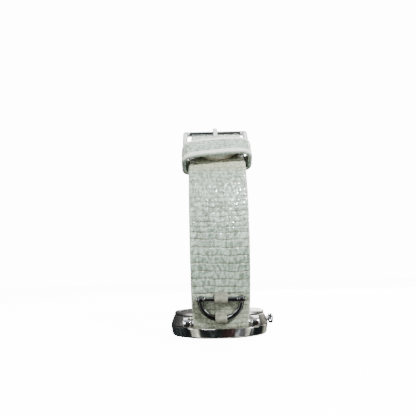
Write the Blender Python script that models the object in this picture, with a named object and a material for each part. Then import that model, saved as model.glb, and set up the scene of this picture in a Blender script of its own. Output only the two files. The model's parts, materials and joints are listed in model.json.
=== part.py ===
"""A small round wristwatch on a leather strap, buckled as if round a wrist.

The watch lies dial down: the crystal's face is the plane Z = 0, with the origin at its middle.
+X is the crown side and +Z the way up to the buckle. The half of the strap with the buckle and
the D-ring ornament is on the -Y side, and the half with the holes is on the +Y side.
Everything is in metres. Run it with: blender --background --python part.py
"""
from math import cos, pi, radians, sin, sqrt, tau

import bmesh
import bpy
from mathutils import Matrix, Vector

mm = 0.001

# ---------------------------------------------------------------- driving dimensions
GAP = 0.3 * mm                      # room left between pieces that touch
CASE_RADIUS = 15.3 * mm
CASE_BACK_TOP = 7.6 * mm            # thickness of the whole case
STRAP_WIDTH = 16.0 * mm
STRAP_TIP_WIDTH = 14.4 * mm
HOLE_PITCH = 6.5 * mm

# The line the strap follows: a slack arc up each side, then a tight arc over the top.
SIDE_RADIUS = 43.2 * mm
TOP_RADIUS = 28.3 * mm
TOP_CENTRE_Z = 33.0 * mm
LEAN = radians(40)                  # how far the strap leans outward where it leaves the case
SIDE_LENGTH = SIDE_RADIUS * LEAN
HINGE_Y = TOP_RADIUS - SIDE_RADIUS * (1 - cos(LEAN))
HINGE_Z = TOP_CENTRE_Z - SIDE_RADIUS * sin(LEAN)

# Layers of the strap, measured outward from that line.
LEATHER = (0.15 * mm, 1.35 * mm)
LINING = (-0.85 * mm, -0.15 * mm)
LINING_START = 2.4 * mm             # the lining stops short of the loop round the spring bar
LOOP_RADIUS = 1.75 * mm
LOOP_BORE = 0.98 * mm
STATION_PITCH = 1.6 * mm

# The case, listed from the crystal up to the back. Radii run from the middle outward.
CRYSTAL_RADIUS = 13.2 * mm
CRYSTAL_THICKNESS = 1.3 * mm
BEZEL_INNER = 14.2 * mm
BEZEL_LIP = 12.6 * mm
BEZEL_FRONT = 0.25 * mm
BEZEL_TOP = 3.2 * mm
MIDDLE_BOTTOM = BEZEL_TOP + GAP
WALL_TOP = 4.3 * mm                 # above this the case slopes in towards its back
MIDDLE_TOP = 6.4 * mm
MIDDLE_INNER = 12.7 * mm
BACK_SEAT = 5.9 * mm
BACK_SEAT_RADIUS = 13.8 * mm
BACK_RADIUS = 14.1 * mm
DIAL = (2.7 * mm, 3.0 * mm)
DIAL_RADIUS = 12.2 * mm
MARKERS = (2.35 * mm, 2.5 * mm)
MARKER_REACH = 10.9 * mm
MARKER_WIDTH = 0.6 * mm
HOUR_HAND = (2.0 * mm, 2.15 * mm)
MINUTE_HAND = (1.65 * mm, 1.8 * mm)
MOTION_WHEELS = (3.25 * mm, 3.5 * mm)
MAIN_PLATE = (3.75 * mm, 4.0 * mm)
MOVEMENT_RADIUS = 10.3 * mm
MOVEMENT_PARTS = (4.4 * mm, 6.0 * mm)
BATTERY_RADIUS = 3.9 * mm
COIL_LENGTH = 6.0 * mm
BOARD_THICKNESS = 0.4 * mm
HOUR_WHEEL_RADIUS = 3.0 * mm
MINUTE_WHEEL_RADIUS = 1.7 * mm
HOUR_PIPE = (0.65 * mm, 0.95 * mm)
CANNON_RADIUS = 0.35 * mm

# Lugs and the spring bars between them.
LUG_INNER_X = STRAP_WIDTH / 2 + GAP
LUG_WIDTH = 2.3 * mm
LUG_ROOT = 10.8 * mm                # inside the wall of the case
LUG_SHOULDER = 14.6 * mm
LUG_BOTTOM = MIDDLE_BOTTOM
LUG_END_RADIUS = 1.6 * mm
LUG_END_Y = HINGE_Y + 0.4 * mm
BAR_RADIUS = 0.68 * mm
BAR_TIP_RADIUS = 0.42 * mm
BAR_TIP_BORE = BAR_TIP_RADIUS + GAP
BAR_TIP_LENGTH = 1.2 * mm

# Crown on the +X side.
CROWN_Z = 4.5 * mm
CROWN_RADIUS = 1.5 * mm
CROWN_START = 15.6 * mm
CROWN_END = 17.1 * mm
CROWN_TEETH = 24
CROWN_FLUTE = 0.12 * mm
STEM_RADIUS = 0.3 * mm
TUBE = (0.55 * mm, 0.8 * mm)

# Buckle, on the spring bar at the end of the short half.
BAR_ANGLE = radians(49)             # from the -Y side, up and over the top
CROSSBAR_ANGLE = BAR_ANGLE + radians(20.5)
USED_HOLE_ANGLE = BAR_ANGLE + radians(8.8)
FRAME_INNER_X = STRAP_WIDTH / 2 + 0.45 * mm
FRAME_OUTER_X = 9.9 * mm
CROSSBAR_RADIUS = 0.85 * mm
CROSSBAR_HEIGHT = LEATHER[1] + 0.7 * mm + CROSSBAR_RADIUS
BUCKLE_LOOP_RADIUS = 1.55 * mm
NOTCH_HALF_WIDTH = 1.35 * mm        # cut in the short half's end for the tongue
NOTCH_LENGTH = 2.1 * mm
TONGUE_WIDTH = 1.6 * mm
TONGUE_THICKNESS = 0.8 * mm
TONGUE_CLIMB = ((0, 1.1), (4, 1.0), (9, 1.6), (14, 2.8))   # degrees past the bar, and height in mm
TIP_LIFT = 2.8 * mm                 # how far the long half rides above the short half

# The keeper, between two angles on the top arc.
FREE_KEEPER = (radians(32), radians(44.5))
TIP_ANGLE = FREE_KEEPER[0] + radians(2)   # the long half's tip ends inside the free keeper
KEEPER_WALL = 1.1 * mm

# D-ring ornament on the short half, near the case.
RING_STATION = 6.2 * mm             # where its middle lies along the strap
RING_BAR_RADIUS = 0.6 * mm
RING_BAR_LENGTH = 13.2 * mm
RING_BAR_OFFSET = 3.4 * mm
RING_BOW_RADIUS = 5.4 * mm
RING_WIRE_RADIUS = 0.6 * mm
RING_SHANK = 0.9 * mm
RING_BORE = RING_BAR_RADIUS + 0.12 * mm
RING_EYE_RADIUS = RING_BORE + 0.26 * mm
RING_HEIGHT = LEATHER[1] + RING_EYE_RADIUS + 0.15 * mm
TAB_THICKNESS = 0.45 * mm
TAB_FOOT = -0.4 * mm                # below the middle of the bar it arches over

BUCKLE_STRAP_LENGTH = SIDE_LENGTH + TOP_RADIUS * BAR_ANGLE
HOLE_STRAP_LENGTH = SIDE_LENGTH + TOP_RADIUS * (pi - TIP_ANGLE)


# ---------------------------------------------------------------- materials
def material(name, colour, roughness, metallic=0.0, alpha=1.0):
    made = bpy.data.materials.new(name)
    made.use_nodes = True
    shader = made.node_tree.nodes["Principled BSDF"]
    shader.inputs["Base Color"].default_value = (*colour, 1)
    shader.inputs["Roughness"].default_value = roughness
    shader.inputs["Metallic"].default_value = metallic
    shader.inputs["Alpha"].default_value = alpha
    return made


# ---------------------------------------------------------------- building solids
def new_object(name, mesh_data, look):
    """Turn a bmesh into an object whose faces point out."""
    bmesh.ops.recalc_face_normals(mesh_data, faces=mesh_data.faces)
    mesh = bpy.data.meshes.new(name)
    mesh_data.to_mesh(mesh)
    mesh_data.free()
    if look:
        mesh.materials.append(look)
    made = bpy.data.objects.new(name, mesh)
    bpy.context.scene.collection.objects.link(made)
    return made


def loft(name, rings, look=None, closed=False):
    """Skin a row of rings that all have the same number of points; cap both ends if not closed."""
    skin = bmesh.new()
    rows = [[skin.verts.new(point) for point in ring] for ring in rings]
    count = len(rows[0])
    pairs = list(zip(rows, rows[1:]))
    if closed:
        pairs.append((rows[-1], rows[0]))
    for row, following in pairs:
        for i in range(count):
            j = (i + 1) % count
            skin.faces.new((row[i], row[j], following[j], following[i]))
    if not closed:
        skin.faces.new(rows[0])
        skin.faces.new(rows[-1])
    return new_object(name, skin, look)


def turned(name, profile, look=None, axis="Z", at=(0, 0, 0), segments=48, hollow=False):
    """Turn a profile of (distance along, radius) points about an axis; a hollow one is a closed loop."""
    along, across, up = {"X": (Vector((1, 0, 0)), Vector((0, 1, 0)), Vector((0, 0, 1))),
                         "Z": (Vector((0, 0, 1)), Vector((1, 0, 0)), Vector((0, 1, 0)))}[axis]
    spokes = [across * cos(tau * k / segments) + up * sin(tau * k / segments) for k in range(segments)]
    rings = [[Vector(at) + along * distance + spoke * radius for spoke in spokes]
             for distance, radius in profile]
    return loft(name, rings, look, closed=hollow)


def extruded(name, outline, half_width, look=None, middle_x=0.0):
    """Extrude an outline of (y, z) points along X, half_width to each side of middle_x."""
    sides = [[(middle_x + side * half_width, y, z) for y, z in outline] for side in (-1, 1)]
    return loft(name, sides, look)


def ring_profile(inner, outer, low, high):
    """The rectangle that turns into a plain ring."""
    return [(low, inner), (low, outer), (high, outer), (high, inner)]


def block(name, low, high, look=None):
    corners = [(low[0], low[1]), (high[0], low[1]), (high[0], high[1]), (low[0], high[1])]
    return loft(name, [[(x, y, z) for x, y in corners] for z in (low[2], high[2])], look)


def combine(target, tool, operation):
    """Apply a Boolean with the exact solver and throw the tool away."""
    step = target.modifiers.new(operation.lower(), "BOOLEAN")
    step.operation = operation
    step.object = tool
    bpy.context.view_layer.update()
    evaluated = target.evaluated_get(bpy.context.evaluated_depsgraph_get())
    result = bpy.data.meshes.new_from_object(evaluated)
    target.modifiers.remove(step)
    target.data = result
    bpy.data.objects.remove(tool)
    return target


def shade(solid, angle=radians(35)):
    solid.data.shade_smooth()
    solid.data.set_sharp_from_angle(angle=angle)
    return solid


# ---------------------------------------------------------------- the line the strap follows
def angle_at(station):
    """Angle of the strap's outward normal below (-) or above (+) the horizontal."""
    if station < SIDE_LENGTH:
        return station / SIDE_RADIUS - LEAN
    return (station - SIDE_LENGTH) / TOP_RADIUS


def strap_frame(station, side):
    """Point, direction and outward normal of the strap's line, on the side -1 (near) or +1 (far)."""
    angle = angle_at(station)
    radius = SIDE_RADIUS if station < SIDE_LENGTH else TOP_RADIUS
    centre_y = (radius - TOP_RADIUS) * -side
    normal = Vector((0, side * cos(angle), sin(angle)))
    direction = Vector((0, -side * sin(angle), cos(angle)))
    point = Vector((0, centre_y, TOP_CENTRE_Z)) + normal * radius
    return point, direction, normal


def top_point(angle, height, x=0.0):
    """A point over the short half's top arc, by its angle and its height above the strap's line."""
    radius = TOP_RADIUS + height
    return Vector((x, -radius * cos(angle), TOP_CENTRE_Z + radius * sin(angle)))


def smooth(value):
    value = min(max(value, 0.0), 1.0)
    return value * value * (3 - 2 * value)


LIFT_START = SIDE_LENGTH + TOP_RADIUS * (pi - BAR_ANGLE - radians(16))
LIFT_END = SIDE_LENGTH + TOP_RADIUS * (pi - BAR_ANGLE - radians(2))


def tip_lift(station, side):
    """The long half rises over the buckle's bar and then lies on the short half."""
    if side < 0:
        return 0.0
    return TIP_LIFT * smooth((station - LIFT_START) / (LIFT_END - LIFT_START))


TIP_ROUNDING = 7.0 * mm
TAPER_START = 20.0 * mm


def hole_strap_half_width(station):
    taper = min(max((station - TAPER_START) / (HOLE_STRAP_LENGTH - TAPER_START), 0), 1)
    half = (STRAP_WIDTH + (STRAP_TIP_WIDTH - STRAP_WIDTH) * taper) / 2
    into_tip = (station - (HOLE_STRAP_LENGTH - TIP_ROUNDING)) / TIP_ROUNDING
    if into_tip > 0:
        half *= max(sqrt(max(1 - into_tip ** 2, 0)), 0.12)
    return half


def buckle_strap_half_width(station):
    return STRAP_WIDTH / 2


def strap_layer(name, side, start, end, offsets, half_width, look):
    """One layer of the strap between two stations, as a skin over rectangular sections."""
    count = max(int((end - start) / STATION_PITCH), 2)
    stations = [start + (end - start) * k / count for k in range(count + 1)]
    if end > HOLE_STRAP_LENGTH - TIP_ROUNDING:
        stations += [end - TIP_ROUNDING * part for part in (0.06, 0.02)]
        stations.sort()
    rings = []
    for station in stations:
        point, _, normal = strap_frame(station, side)
        middle = point + normal * tip_lift(station, side)
        half = half_width(station)
        inner, outer = (middle + normal * offset for offset in offsets)
        rings.append([(-half, *inner.yz), (half, *inner.yz), (half, *outer.yz), (-half, *outer.yz)])
    return loft(name, rings, look)


def add_loop(leather, point, half_width, loop_radius, bore):
    """Wrap the end of a strap's leather round its spring bar."""
    solid = [(-half_width, loop_radius), (half_width, loop_radius)]
    combine(leather, turned("loop", solid, axis="X", at=point, segments=28), "UNION")
    through = [(-STRAP_WIDTH, bore), (STRAP_WIDTH, bore)]
    combine(leather, turned("bore", through, axis="X", at=point, segments=28), "DIFFERENCE")


def slot_cutter(station, side, half_length, radius):
    """A round or long hole's cutter, square to the strap."""
    point, direction, normal = strap_frame(station, side)
    middle = point + normal * tip_lift(station, side)
    across = Vector((1, 0, 0))
    ring = []
    for k in range(20):
        turn = tau * (k + 0.5) / 20
        shift = half_length if sin(turn) > 0 else -half_length
        ring.append(middle + across * cos(turn) * radius + direction * (sin(turn) * radius + shift))
    depth = 3.2 * mm
    return loft("hole", [[p + normal * end for p in ring] for end in (-depth, depth)])


USED_HOLE = SIDE_LENGTH + TOP_RADIUS * (pi - USED_HOLE_ANGLE)
SPARE_HOLES = 6
USED_HOLE_HALF_SLOT = 1.5 * mm
HOLE_RADIUS = 1.1 * mm


def punch_holes(layer):
    """The hole in use is drawn out by the tongue; the spare ones are round."""
    combine(layer, slot_cutter(USED_HOLE, 1, USED_HOLE_HALF_SLOT, HOLE_RADIUS), "DIFFERENCE")
    for k in range(1, SPARE_HOLES + 1):
        combine(layer, slot_cutter(USED_HOLE - k * HOLE_PITCH, 1, 0, HOLE_RADIUS), "DIFFERENCE")


# ---------------------------------------------------------------- strap and buckle
def buckle_strap(leather_look, lining_look):
    leather = strap_layer("buckle_strap_leather", -1, 0, BUCKLE_STRAP_LENGTH, LEATHER,
                          buckle_strap_half_width, leather_look)
    add_loop(leather, (0, -HINGE_Y, HINGE_Z), STRAP_WIDTH / 2, LOOP_RADIUS, LOOP_BORE)
    bar = top_point(BAR_ANGLE, 0)
    add_loop(leather, bar, STRAP_WIDTH / 2, BUCKLE_LOOP_RADIUS, LOOP_BORE)
    deep = 4 * mm
    notch = block("notch", (-NOTCH_HALF_WIDTH, -NOTCH_LENGTH, -deep), (NOTCH_HALF_WIDTH, deep, deep))
    notch.data.transform(Matrix.Translation(bar) @ Matrix.Rotation(pi / 2 - BAR_ANGLE, 4, "X"))
    combine(leather, notch, "DIFFERENCE")
    lining = strap_layer("buckle_strap_lining", -1, LINING_START, BUCKLE_STRAP_LENGTH - 2.2 * mm,
                         LINING, buckle_strap_half_width, lining_look)
    return [shade(leather), shade(lining)]


def hole_strap(leather_look, lining_look):
    leather = strap_layer("hole_strap_leather", 1, 0, HOLE_STRAP_LENGTH, LEATHER,
                          hole_strap_half_width, leather_look)
    add_loop(leather, (0, HINGE_Y, HINGE_Z), STRAP_WIDTH / 2, LOOP_RADIUS, LOOP_BORE)
    lining = strap_layer("hole_strap_lining", 1, LINING_START, HOLE_STRAP_LENGTH, LINING,
                         hole_strap_half_width, lining_look)
    for layer in (leather, lining):
        punch_holes(layer)
    return [shade(leather), shade(lining)]


def rounded_rectangle(half_x, low, high, radius, steps=3):
    """Corner points of a rectangle with rounded corners, in the plane across the strap."""
    points = []
    for corner_x, corner_h, first in ((1, high, 0), (-1, high, 1), (-1, low, 2), (1, low, 3)):
        centre_x = corner_x * (half_x - radius)
        centre_h = corner_h + (radius if corner_h == low else -radius)
        for k in range(steps + 1):
            turn = (first + k / steps) * pi / 2
            points.append((centre_x + radius * cos(turn), centre_h + radius * sin(turn)))
    return points


def free_keeper(look):
    """A flat leather loop round both halves of the strap, bent to the top arc."""
    low = LINING[0] - GAP
    high = TIP_LIFT + LEATHER[1] + GAP
    half = STRAP_WIDTH / 2 + GAP
    inside = rounded_rectangle(half, low, high, 0.3 * mm)
    outside = rounded_rectangle(half + KEEPER_WALL, low - KEEPER_WALL, high + KEEPER_WALL, 1.3 * mm)
    steps = 4
    first, last = FREE_KEEPER
    angles = [first + (last - first) * k / steps for k in range(steps + 1)]
    skins = []
    for outline, order in ((outside, angles), (inside, reversed(angles))):
        skins += [[top_point(angle, h, x) for x, h in outline] for angle in order]
    return shade(loft("free_keeper", skins, look, closed=True))


def spring_bar(name, point, half_length, look):
    """A telescopic bar: a tube with a shouldered tip at each end."""
    tip = half_length + BAR_TIP_LENGTH
    profile = [(-tip, BAR_TIP_RADIUS), (-half_length, BAR_TIP_RADIUS), (-half_length, BAR_RADIUS),
               (half_length, BAR_RADIUS), (half_length, BAR_TIP_RADIUS), (tip, BAR_TIP_RADIUS)]
    return shade(turned(name, profile, look, axis="X", at=point, segments=20))


def buckle_frame(look):
    """Two side arms on the spring bar, and the crossbar that the tongue rests on."""
    crossbar = [(-FRAME_OUTER_X, CROSSBAR_RADIUS), (FRAME_OUTER_X, CROSSBAR_RADIUS)]
    frame = turned("buckle_frame", crossbar, look, axis="X", segments=24,
                   at=top_point(CROSSBAR_ANGLE, CROSSBAR_HEIGHT))
    first = BAR_ANGLE - radians(3)
    last = CROSSBAR_ANGLE
    steps = 8
    low_side, high_side = [], []
    for k in range(steps + 1):
        part = k / steps
        angle = first + (last - first) * part
        height = CROSSBAR_HEIGHT * smooth((angle - BAR_ANGLE) / (last - BAR_ANGLE))
        half = (1.25 - 0.45 * part) * mm
        low_side.append(top_point(angle, height - half).yz)
        high_side.append(top_point(angle, height + half).yz)
    outline = low_side + high_side[::-1]
    bar = top_point(BAR_ANGLE, 0)
    arm_middle = (FRAME_INNER_X + FRAME_OUTER_X) / 2
    for side in (-1, 1):
        arm = extruded("arm", outline, (FRAME_OUTER_X - FRAME_INNER_X) / 2, middle_x=side * arm_middle)
        combine(frame, arm, "UNION")
    bore = FRAME_OUTER_X - 0.4 * mm
    combine(frame, turned("bore", [(-bore, BAR_TIP_BORE), (bore, BAR_TIP_BORE)], axis="X", at=bar,
                          segments=20), "DIFFERENCE")
    return shade(frame)


def buckle_tongue(look):
    """A ring on the spring bar and a shaft that passes up through the strap and over the crossbar."""
    bar = top_point(BAR_ANGLE, 0)
    ring = [(-TONGUE_WIDTH / 2, BUCKLE_LOOP_RADIUS), (TONGUE_WIDTH / 2, BUCKLE_LOOP_RADIUS)]
    tongue = turned("buckle_tongue", ring, look, axis="X", at=bar, segments=24)
    rest = CROSSBAR_HEIGHT + CROSSBAR_RADIUS + GAP + TONGUE_THICKNESS / 2
    way = [(degrees, height * mm) for degrees, height in TONGUE_CLIMB]
    way += [(17.5, rest - 0.3 * mm), (20.5, rest), (23.5, rest - 0.15 * mm)]
    half = TONGUE_THICKNESS / 2
    low_side = [top_point(BAR_ANGLE + radians(degrees), height - half).yz for degrees, height in way]
    high_side = [top_point(BAR_ANGLE + radians(degrees), height + half).yz for degrees, height in way]
    combine(tongue, extruded("shaft", low_side + high_side[::-1], TONGUE_WIDTH / 2 - 0.02 * mm), "UNION")
    bore = [(-TONGUE_WIDTH, LOOP_BORE), (TONGUE_WIDTH, LOOP_BORE)]
    combine(tongue, turned("bore", bore, axis="X", at=bar, segments=24), "DIFFERENCE")
    return shade(tongue)


# ---------------------------------------------------------------- D-ring ornament
def ring_point(x, up, height):
    """A point in the flat frame of the ornament: across, up the strap, and off its face."""
    point, direction, normal = strap_frame(RING_STATION, -1)
    return point + Vector((x, 0, 0)) + direction * up + normal * height


def ring_bar(look):
    """A round bar with a small head at each end."""
    head = RING_BAR_RADIUS + 0.2 * mm
    half = RING_BAR_LENGTH / 2
    neck = half - 0.35 * mm
    profile = [(-half, head), (-neck, head), (-neck, RING_BAR_RADIUS), (neck, RING_BAR_RADIUS),
               (neck, head), (half, head)]
    return shade(turned("d_ring_bar", profile, look, axis="X", segments=20,
                        at=ring_point(0, RING_BAR_OFFSET, RING_HEIGHT)))


def ring_bow(look):
    """The round half of the D: a bent wire with an eye at each end, through which the bar passes."""
    straight = [(RING_BOW_RADIUS, RING_BAR_OFFSET - RING_SHANK * k / 2) for k in (0.6, 1, 2)]
    steps = 20
    low = RING_BAR_OFFSET - RING_SHANK
    arc = [(RING_BOW_RADIUS * cos(pi * k / steps), low - RING_BOW_RADIUS * sin(pi * k / steps))
           for k in range(1, steps)]
    way = straight + arc + [(-x, up) for x, up in reversed(straight)]
    rings = []
    for i, (x, up) in enumerate(way):
        before, after = way[max(i - 1, 0)], way[min(i + 1, len(way) - 1)]
        along = Vector((after[0] - before[0], after[1] - before[1])).normalized()
        ring = []
        for k in range(10):
            turn = tau * k / 10
            out = RING_WIRE_RADIUS * cos(turn)
            ring.append(ring_point(x + along.y * out, up - along.x * out,
                                   RING_HEIGHT + RING_WIRE_RADIUS * sin(turn)))
        rings.append(ring)
    bow = loft("d_ring_bow", rings, look)
    half = RING_WIRE_RADIUS * 0.97
    for side in (-1, 1):
        at = ring_point(side * RING_BOW_RADIUS, RING_BAR_OFFSET, RING_HEIGHT)
        ends = [(-half, RING_EYE_RADIUS), (half, RING_EYE_RADIUS)]
        combine(bow, turned("eye", ends, axis="X", at=at, segments=20), "UNION")
    through = [(-RING_BAR_LENGTH, RING_BORE), (RING_BAR_LENGTH, RING_BORE)]
    combine(bow, turned("bore", through, axis="X", segments=20,
                        at=ring_point(0, RING_BAR_OFFSET, RING_HEIGHT)), "DIFFERENCE")
    return shade(bow)


def ring_tab(name, up, clear_radius, half_width, look):
    """A strip of leather that arches over a bar and holds it to the strap."""
    inner = clear_radius
    outer = clear_radius + TAB_THICKNESS
    steps = 10
    arch = [pi * k / steps for k in range(steps + 1)]
    outline = [(outer, TAB_FOOT)]
    outline += [(outer * cos(turn), outer * sin(turn)) for turn in arch]
    outline += [(-outer, TAB_FOOT), (-inner, TAB_FOOT)]
    outline += [(inner * cos(turn), inner * sin(turn)) for turn in reversed(arch)]
    outline += [(inner, TAB_FOOT)]
    sides = [[ring_point(side * half_width, up + along, RING_HEIGHT + height) for along, height in outline]
             for side in (-1, 1)]
    return shade(loft(name, sides, look))


# ---------------------------------------------------------------- case
def bezel(look):
    profile = [(BEZEL_FRONT, BEZEL_INNER), (BEZEL_FRONT, CASE_RADIUS - 0.8 * mm),
               (BEZEL_FRONT + 0.45 * mm, CASE_RADIUS - 0.25 * mm), (CRYSTAL_THICKNESS, CASE_RADIUS),
               (BEZEL_TOP, CASE_RADIUS), (BEZEL_TOP, BEZEL_LIP),
               (CRYSTAL_THICKNESS + GAP, BEZEL_LIP), (CRYSTAL_THICKNESS + GAP, BEZEL_INNER)]
    return shade(turned("bezel", profile, look, segments=72, hollow=True))


def lug_outline(side):
    """Side view of a lug: its front slopes back to a round end about the spring bar."""
    steps = 10
    first = radians(-105)
    points = [(LUG_ROOT, LUG_BOTTOM), (LUG_SHOULDER, LUG_BOTTOM)]
    for k in range(steps + 1):
        turn = first + (pi / 2 - first) * k / steps
        points.append((LUG_END_Y + LUG_END_RADIUS * cos(turn), HINGE_Z + LUG_END_RADIUS * sin(turn)))
    points.append((LUG_ROOT, HINGE_Z + LUG_END_RADIUS))
    return [(side * y, z) for y, z in points]


def case_middle(look):
    """The band of the case, with four lugs, the seat for the back and the hole for the crown tube."""
    profile = [(MIDDLE_BOTTOM, MIDDLE_INNER), (MIDDLE_BOTTOM, CASE_RADIUS), (WALL_TOP, CASE_RADIUS),
               (MIDDLE_TOP, CASE_RADIUS - 0.9 * mm), (MIDDLE_TOP, BACK_SEAT_RADIUS),
               (BACK_SEAT, BACK_SEAT_RADIUS), (BACK_SEAT, MIDDLE_INNER)]
    middle = turned("case_middle", profile, look, segments=72, hollow=True)
    for side_x in (-1, 1):
        for side_y in (-1, 1):
            centre = side_x * (LUG_INNER_X + LUG_WIDTH / 2)
            lug = extruded("lug", lug_outline(side_y), LUG_WIDTH / 2, middle_x=centre)
            combine(middle, lug, "UNION")
    room = [(MIDDLE_BOTTOM - GAP, MIDDLE_INNER), (BACK_SEAT, MIDDLE_INNER), (BACK_SEAT, BACK_SEAT_RADIUS),
            (MIDDLE_TOP, BACK_SEAT_RADIUS), (MIDDLE_TOP, BACK_RADIUS + GAP),
            (CASE_BACK_TOP, BACK_RADIUS + GAP)]
    combine(middle, turned("room", room, segments=72), "DIFFERENCE")
    for side_y in (-1, 1):
        reach = LUG_INNER_X + 1.4 * mm
        holes = turned("holes", [(-reach, BAR_TIP_BORE), (reach, BAR_TIP_BORE)], axis="X", segments=20,
                       at=(0, side_y * HINGE_Y, HINGE_Z))
        combine(middle, holes, "DIFFERENCE")
    tube_hole = TUBE[1] + GAP
    bore = turned("bore", [(MIDDLE_INNER - 1 * mm, tube_hole), (CASE_RADIUS + 1 * mm, tube_hole)], axis="X",
                  at=(0, 0, CROWN_Z), segments=24)
    combine(middle, bore, "DIFFERENCE")
    return shade(middle)


def plain_disc(name, radius, layer, look, segments=48, at=(0, 0, 0)):
    return shade(turned(name, [(layer[0], radius), (layer[1], radius)], look, at=at, segments=segments))


def plain_ring(name, inner, outer, layer, look, segments=48):
    return shade(turned(name, ring_profile(inner, outer, *layer), look, segments=segments, hollow=True))


def crystal(look):
    edge = 0.3 * mm
    profile = [(0, CRYSTAL_RADIUS - edge), (edge, CRYSTAL_RADIUS), (CRYSTAL_THICKNESS, CRYSTAL_RADIUS)]
    return shade(turned("crystal", profile, look, segments=64))


def case_back(look):
    """A flat snap-on cap with a bevelled edge."""
    top = CASE_BACK_TOP
    bevel = 0.4 * mm
    profile = [(MIDDLE_TOP + GAP, BACK_RADIUS), (top - bevel, BACK_RADIUS), (top, BACK_RADIUS - bevel)]
    return shade(turned("case_back", profile, look, segments=64))


def dial(look):
    face = plain_disc("dial", DIAL_RADIUS, DIAL, look, segments=64)
    hole = HOUR_PIPE[1] + GAP
    combine(face, turned("hole", [(DIAL[0] - GAP, hole), (DIAL[1] + GAP, hole)], segments=24), "DIFFERENCE")
    return shade(face)


def hour_markers(look):
    """Twelve slim batons; those at twelve, three, six and nine are longer."""
    for hour in range(12):
        length = 2.6 * mm if hour % 3 == 0 else 1.7 * mm
        low = (-MARKER_WIDTH / 2, -MARKER_REACH, MARKERS[0])
        high = (MARKER_WIDTH / 2, length - MARKER_REACH, MARKERS[1])
        baton = block(f"hour_marker_{hour or 12:02d}", low, high, look)
        baton.data.transform(Matrix.Rotation(tau * hour / 12, 4, "Z"))


def hand(name, length, tail, width, layer, bore, turn, look):
    """A slim leaf with a round hub; it points to twelve, which is -Y, before it is turned."""
    hub = width + bore
    leaf = [(0.12 * mm, -length), (width / 2, -length * 0.45), (width * 0.4, tail), (-width * 0.4, tail),
            (-width / 2, -length * 0.45), (-0.12 * mm, -length)]
    made = loft(name, [[(x, y, z) for x, y in leaf] for z in layer], look)
    combine(made, turned("hub", [(layer[0], hub), (layer[1], hub)], segments=24), "UNION")
    through = [(layer[0] - GAP, bore), (layer[1] + GAP, bore)]
    combine(made, turned("bore", through, segments=24), "DIFFERENCE")
    made.data.transform(Matrix.Rotation(turn, 4, "Z"))
    return shade(made)


def hour_wheel(look):
    low = HOUR_HAND[0]
    profile = [(low, HOUR_PIPE[0]), (low, HOUR_PIPE[1]), (MOTION_WHEELS[0], HOUR_PIPE[1]),
               (MOTION_WHEELS[0], HOUR_WHEEL_RADIUS), (MOTION_WHEELS[1], HOUR_WHEEL_RADIUS),
               (MOTION_WHEELS[1], HOUR_PIPE[0])]
    return shade(turned("hour_wheel", profile, look, segments=36, hollow=True))


def cannon_pinion(look):
    flange = 1.0 * mm
    profile = [(MINUTE_HAND[0], CANNON_RADIUS), (4.3 * mm, CANNON_RADIUS), (4.3 * mm, flange),
               (4.55 * mm, flange)]
    return shade(turned("cannon_pinion", profile, look, segments=24))


def main_plate(look):
    plate = plain_disc("main_plate", MOVEMENT_RADIUS, MAIN_PLATE, look)
    hole = CANNON_RADIUS + GAP
    through = [(MAIN_PLATE[0] - GAP, hole), (MAIN_PLATE[1] + GAP, hole)]
    return shade(combine(plate, turned("hole", through, segments=24), "DIFFERENCE"))


def movement_holder(look):
    """A plastic ring that centres the movement, notched where the stem passes."""
    holder = plain_ring("movement_holder", MOVEMENT_RADIUS + GAP, MIDDLE_INNER - GAP,
                        (DIAL[1] + GAP, MOVEMENT_PARTS[1] - GAP), look)
    notch = turned("notch", [(MOVEMENT_RADIUS - 1 * mm, 0.9 * mm), (MIDDLE_INNER + 1 * mm, 0.9 * mm)],
                   axis="X", at=(0, 0, CROWN_Z), segments=20)
    return shade(combine(holder, notch, "DIFFERENCE"))


def movement_parts(looks):
    """The quartz movement's larger pieces, laid out on the main plate."""
    low, high = MOVEMENT_PARTS
    plain_disc("battery", BATTERY_RADIUS, (low, high - GAP), looks["steel"], at=(-4.6 * mm, -3.6 * mm, 0))
    end, flange, wound = COIL_LENGTH / 2, 0.9 * mm, 0.6 * mm
    side = end - 0.5 * mm
    profile = [(-end, flange), (-side, flange), (-side, wound), (side, wound), (side, flange), (end, flange)]
    shade(turned("drive_coil", profile, looks["copper"], axis="X", segments=20,
                 at=(-3 * mm, 6 * mm, low + flange)))
    block("train_bridge", (1.5 * mm, -7 * mm, low + BOARD_THICKNESS),
          (5.5 * mm, -1.2 * mm, high - 0.6 * mm), looks["steel"])
    block("circuit_board", (1.5 * mm, 2.8 * mm, low), (7 * mm, 7 * mm, low + BOARD_THICKNESS),
          looks["board"])


def minute_wheel(look):
    distance = HOUR_WHEEL_RADIUS + MINUTE_WHEEL_RADIUS + GAP
    return plain_disc("minute_wheel", MINUTE_WHEEL_RADIUS, MOTION_WHEELS, look, segments=30,
                      at=(0, distance, 0))


def crown(look):
    """A fluted knob, hollowed where it covers the end of the tube."""
    rounding = [(CROWN_START, 0.94), (CROWN_START + 0.2 * mm, 1), (CROWN_END - 0.3 * mm, 1),
                (CROWN_END, 0.86)]
    rings = []
    for x, scale in rounding:
        ring = []
        for k in range(CROWN_TEETH * 2):
            turn = tau * k / (CROWN_TEETH * 2)
            radius = CROWN_RADIUS * scale - (CROWN_FLUTE if k % 2 else 0)
            ring.append((x, radius * cos(turn), CROWN_Z + radius * sin(turn)))
        rings.append(ring)
    knob = loft("crown", rings, look)
    hollow = TUBE[1] + GAP
    recess = turned("recess", [(CROWN_START - 1 * mm, hollow), (CROWN_START + 0.5 * mm, hollow)], axis="X",
                    at=(0, 0, CROWN_Z), segments=24)
    return shade(combine(knob, recess, "DIFFERENCE"))


def stem(look):
    profile = [(6.5 * mm, STEM_RADIUS), (CROWN_START + 0.2 * mm, STEM_RADIUS)]
    return shade(turned("winding_stem", profile, look, axis="X", at=(0, 0, CROWN_Z), segments=16))


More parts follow.
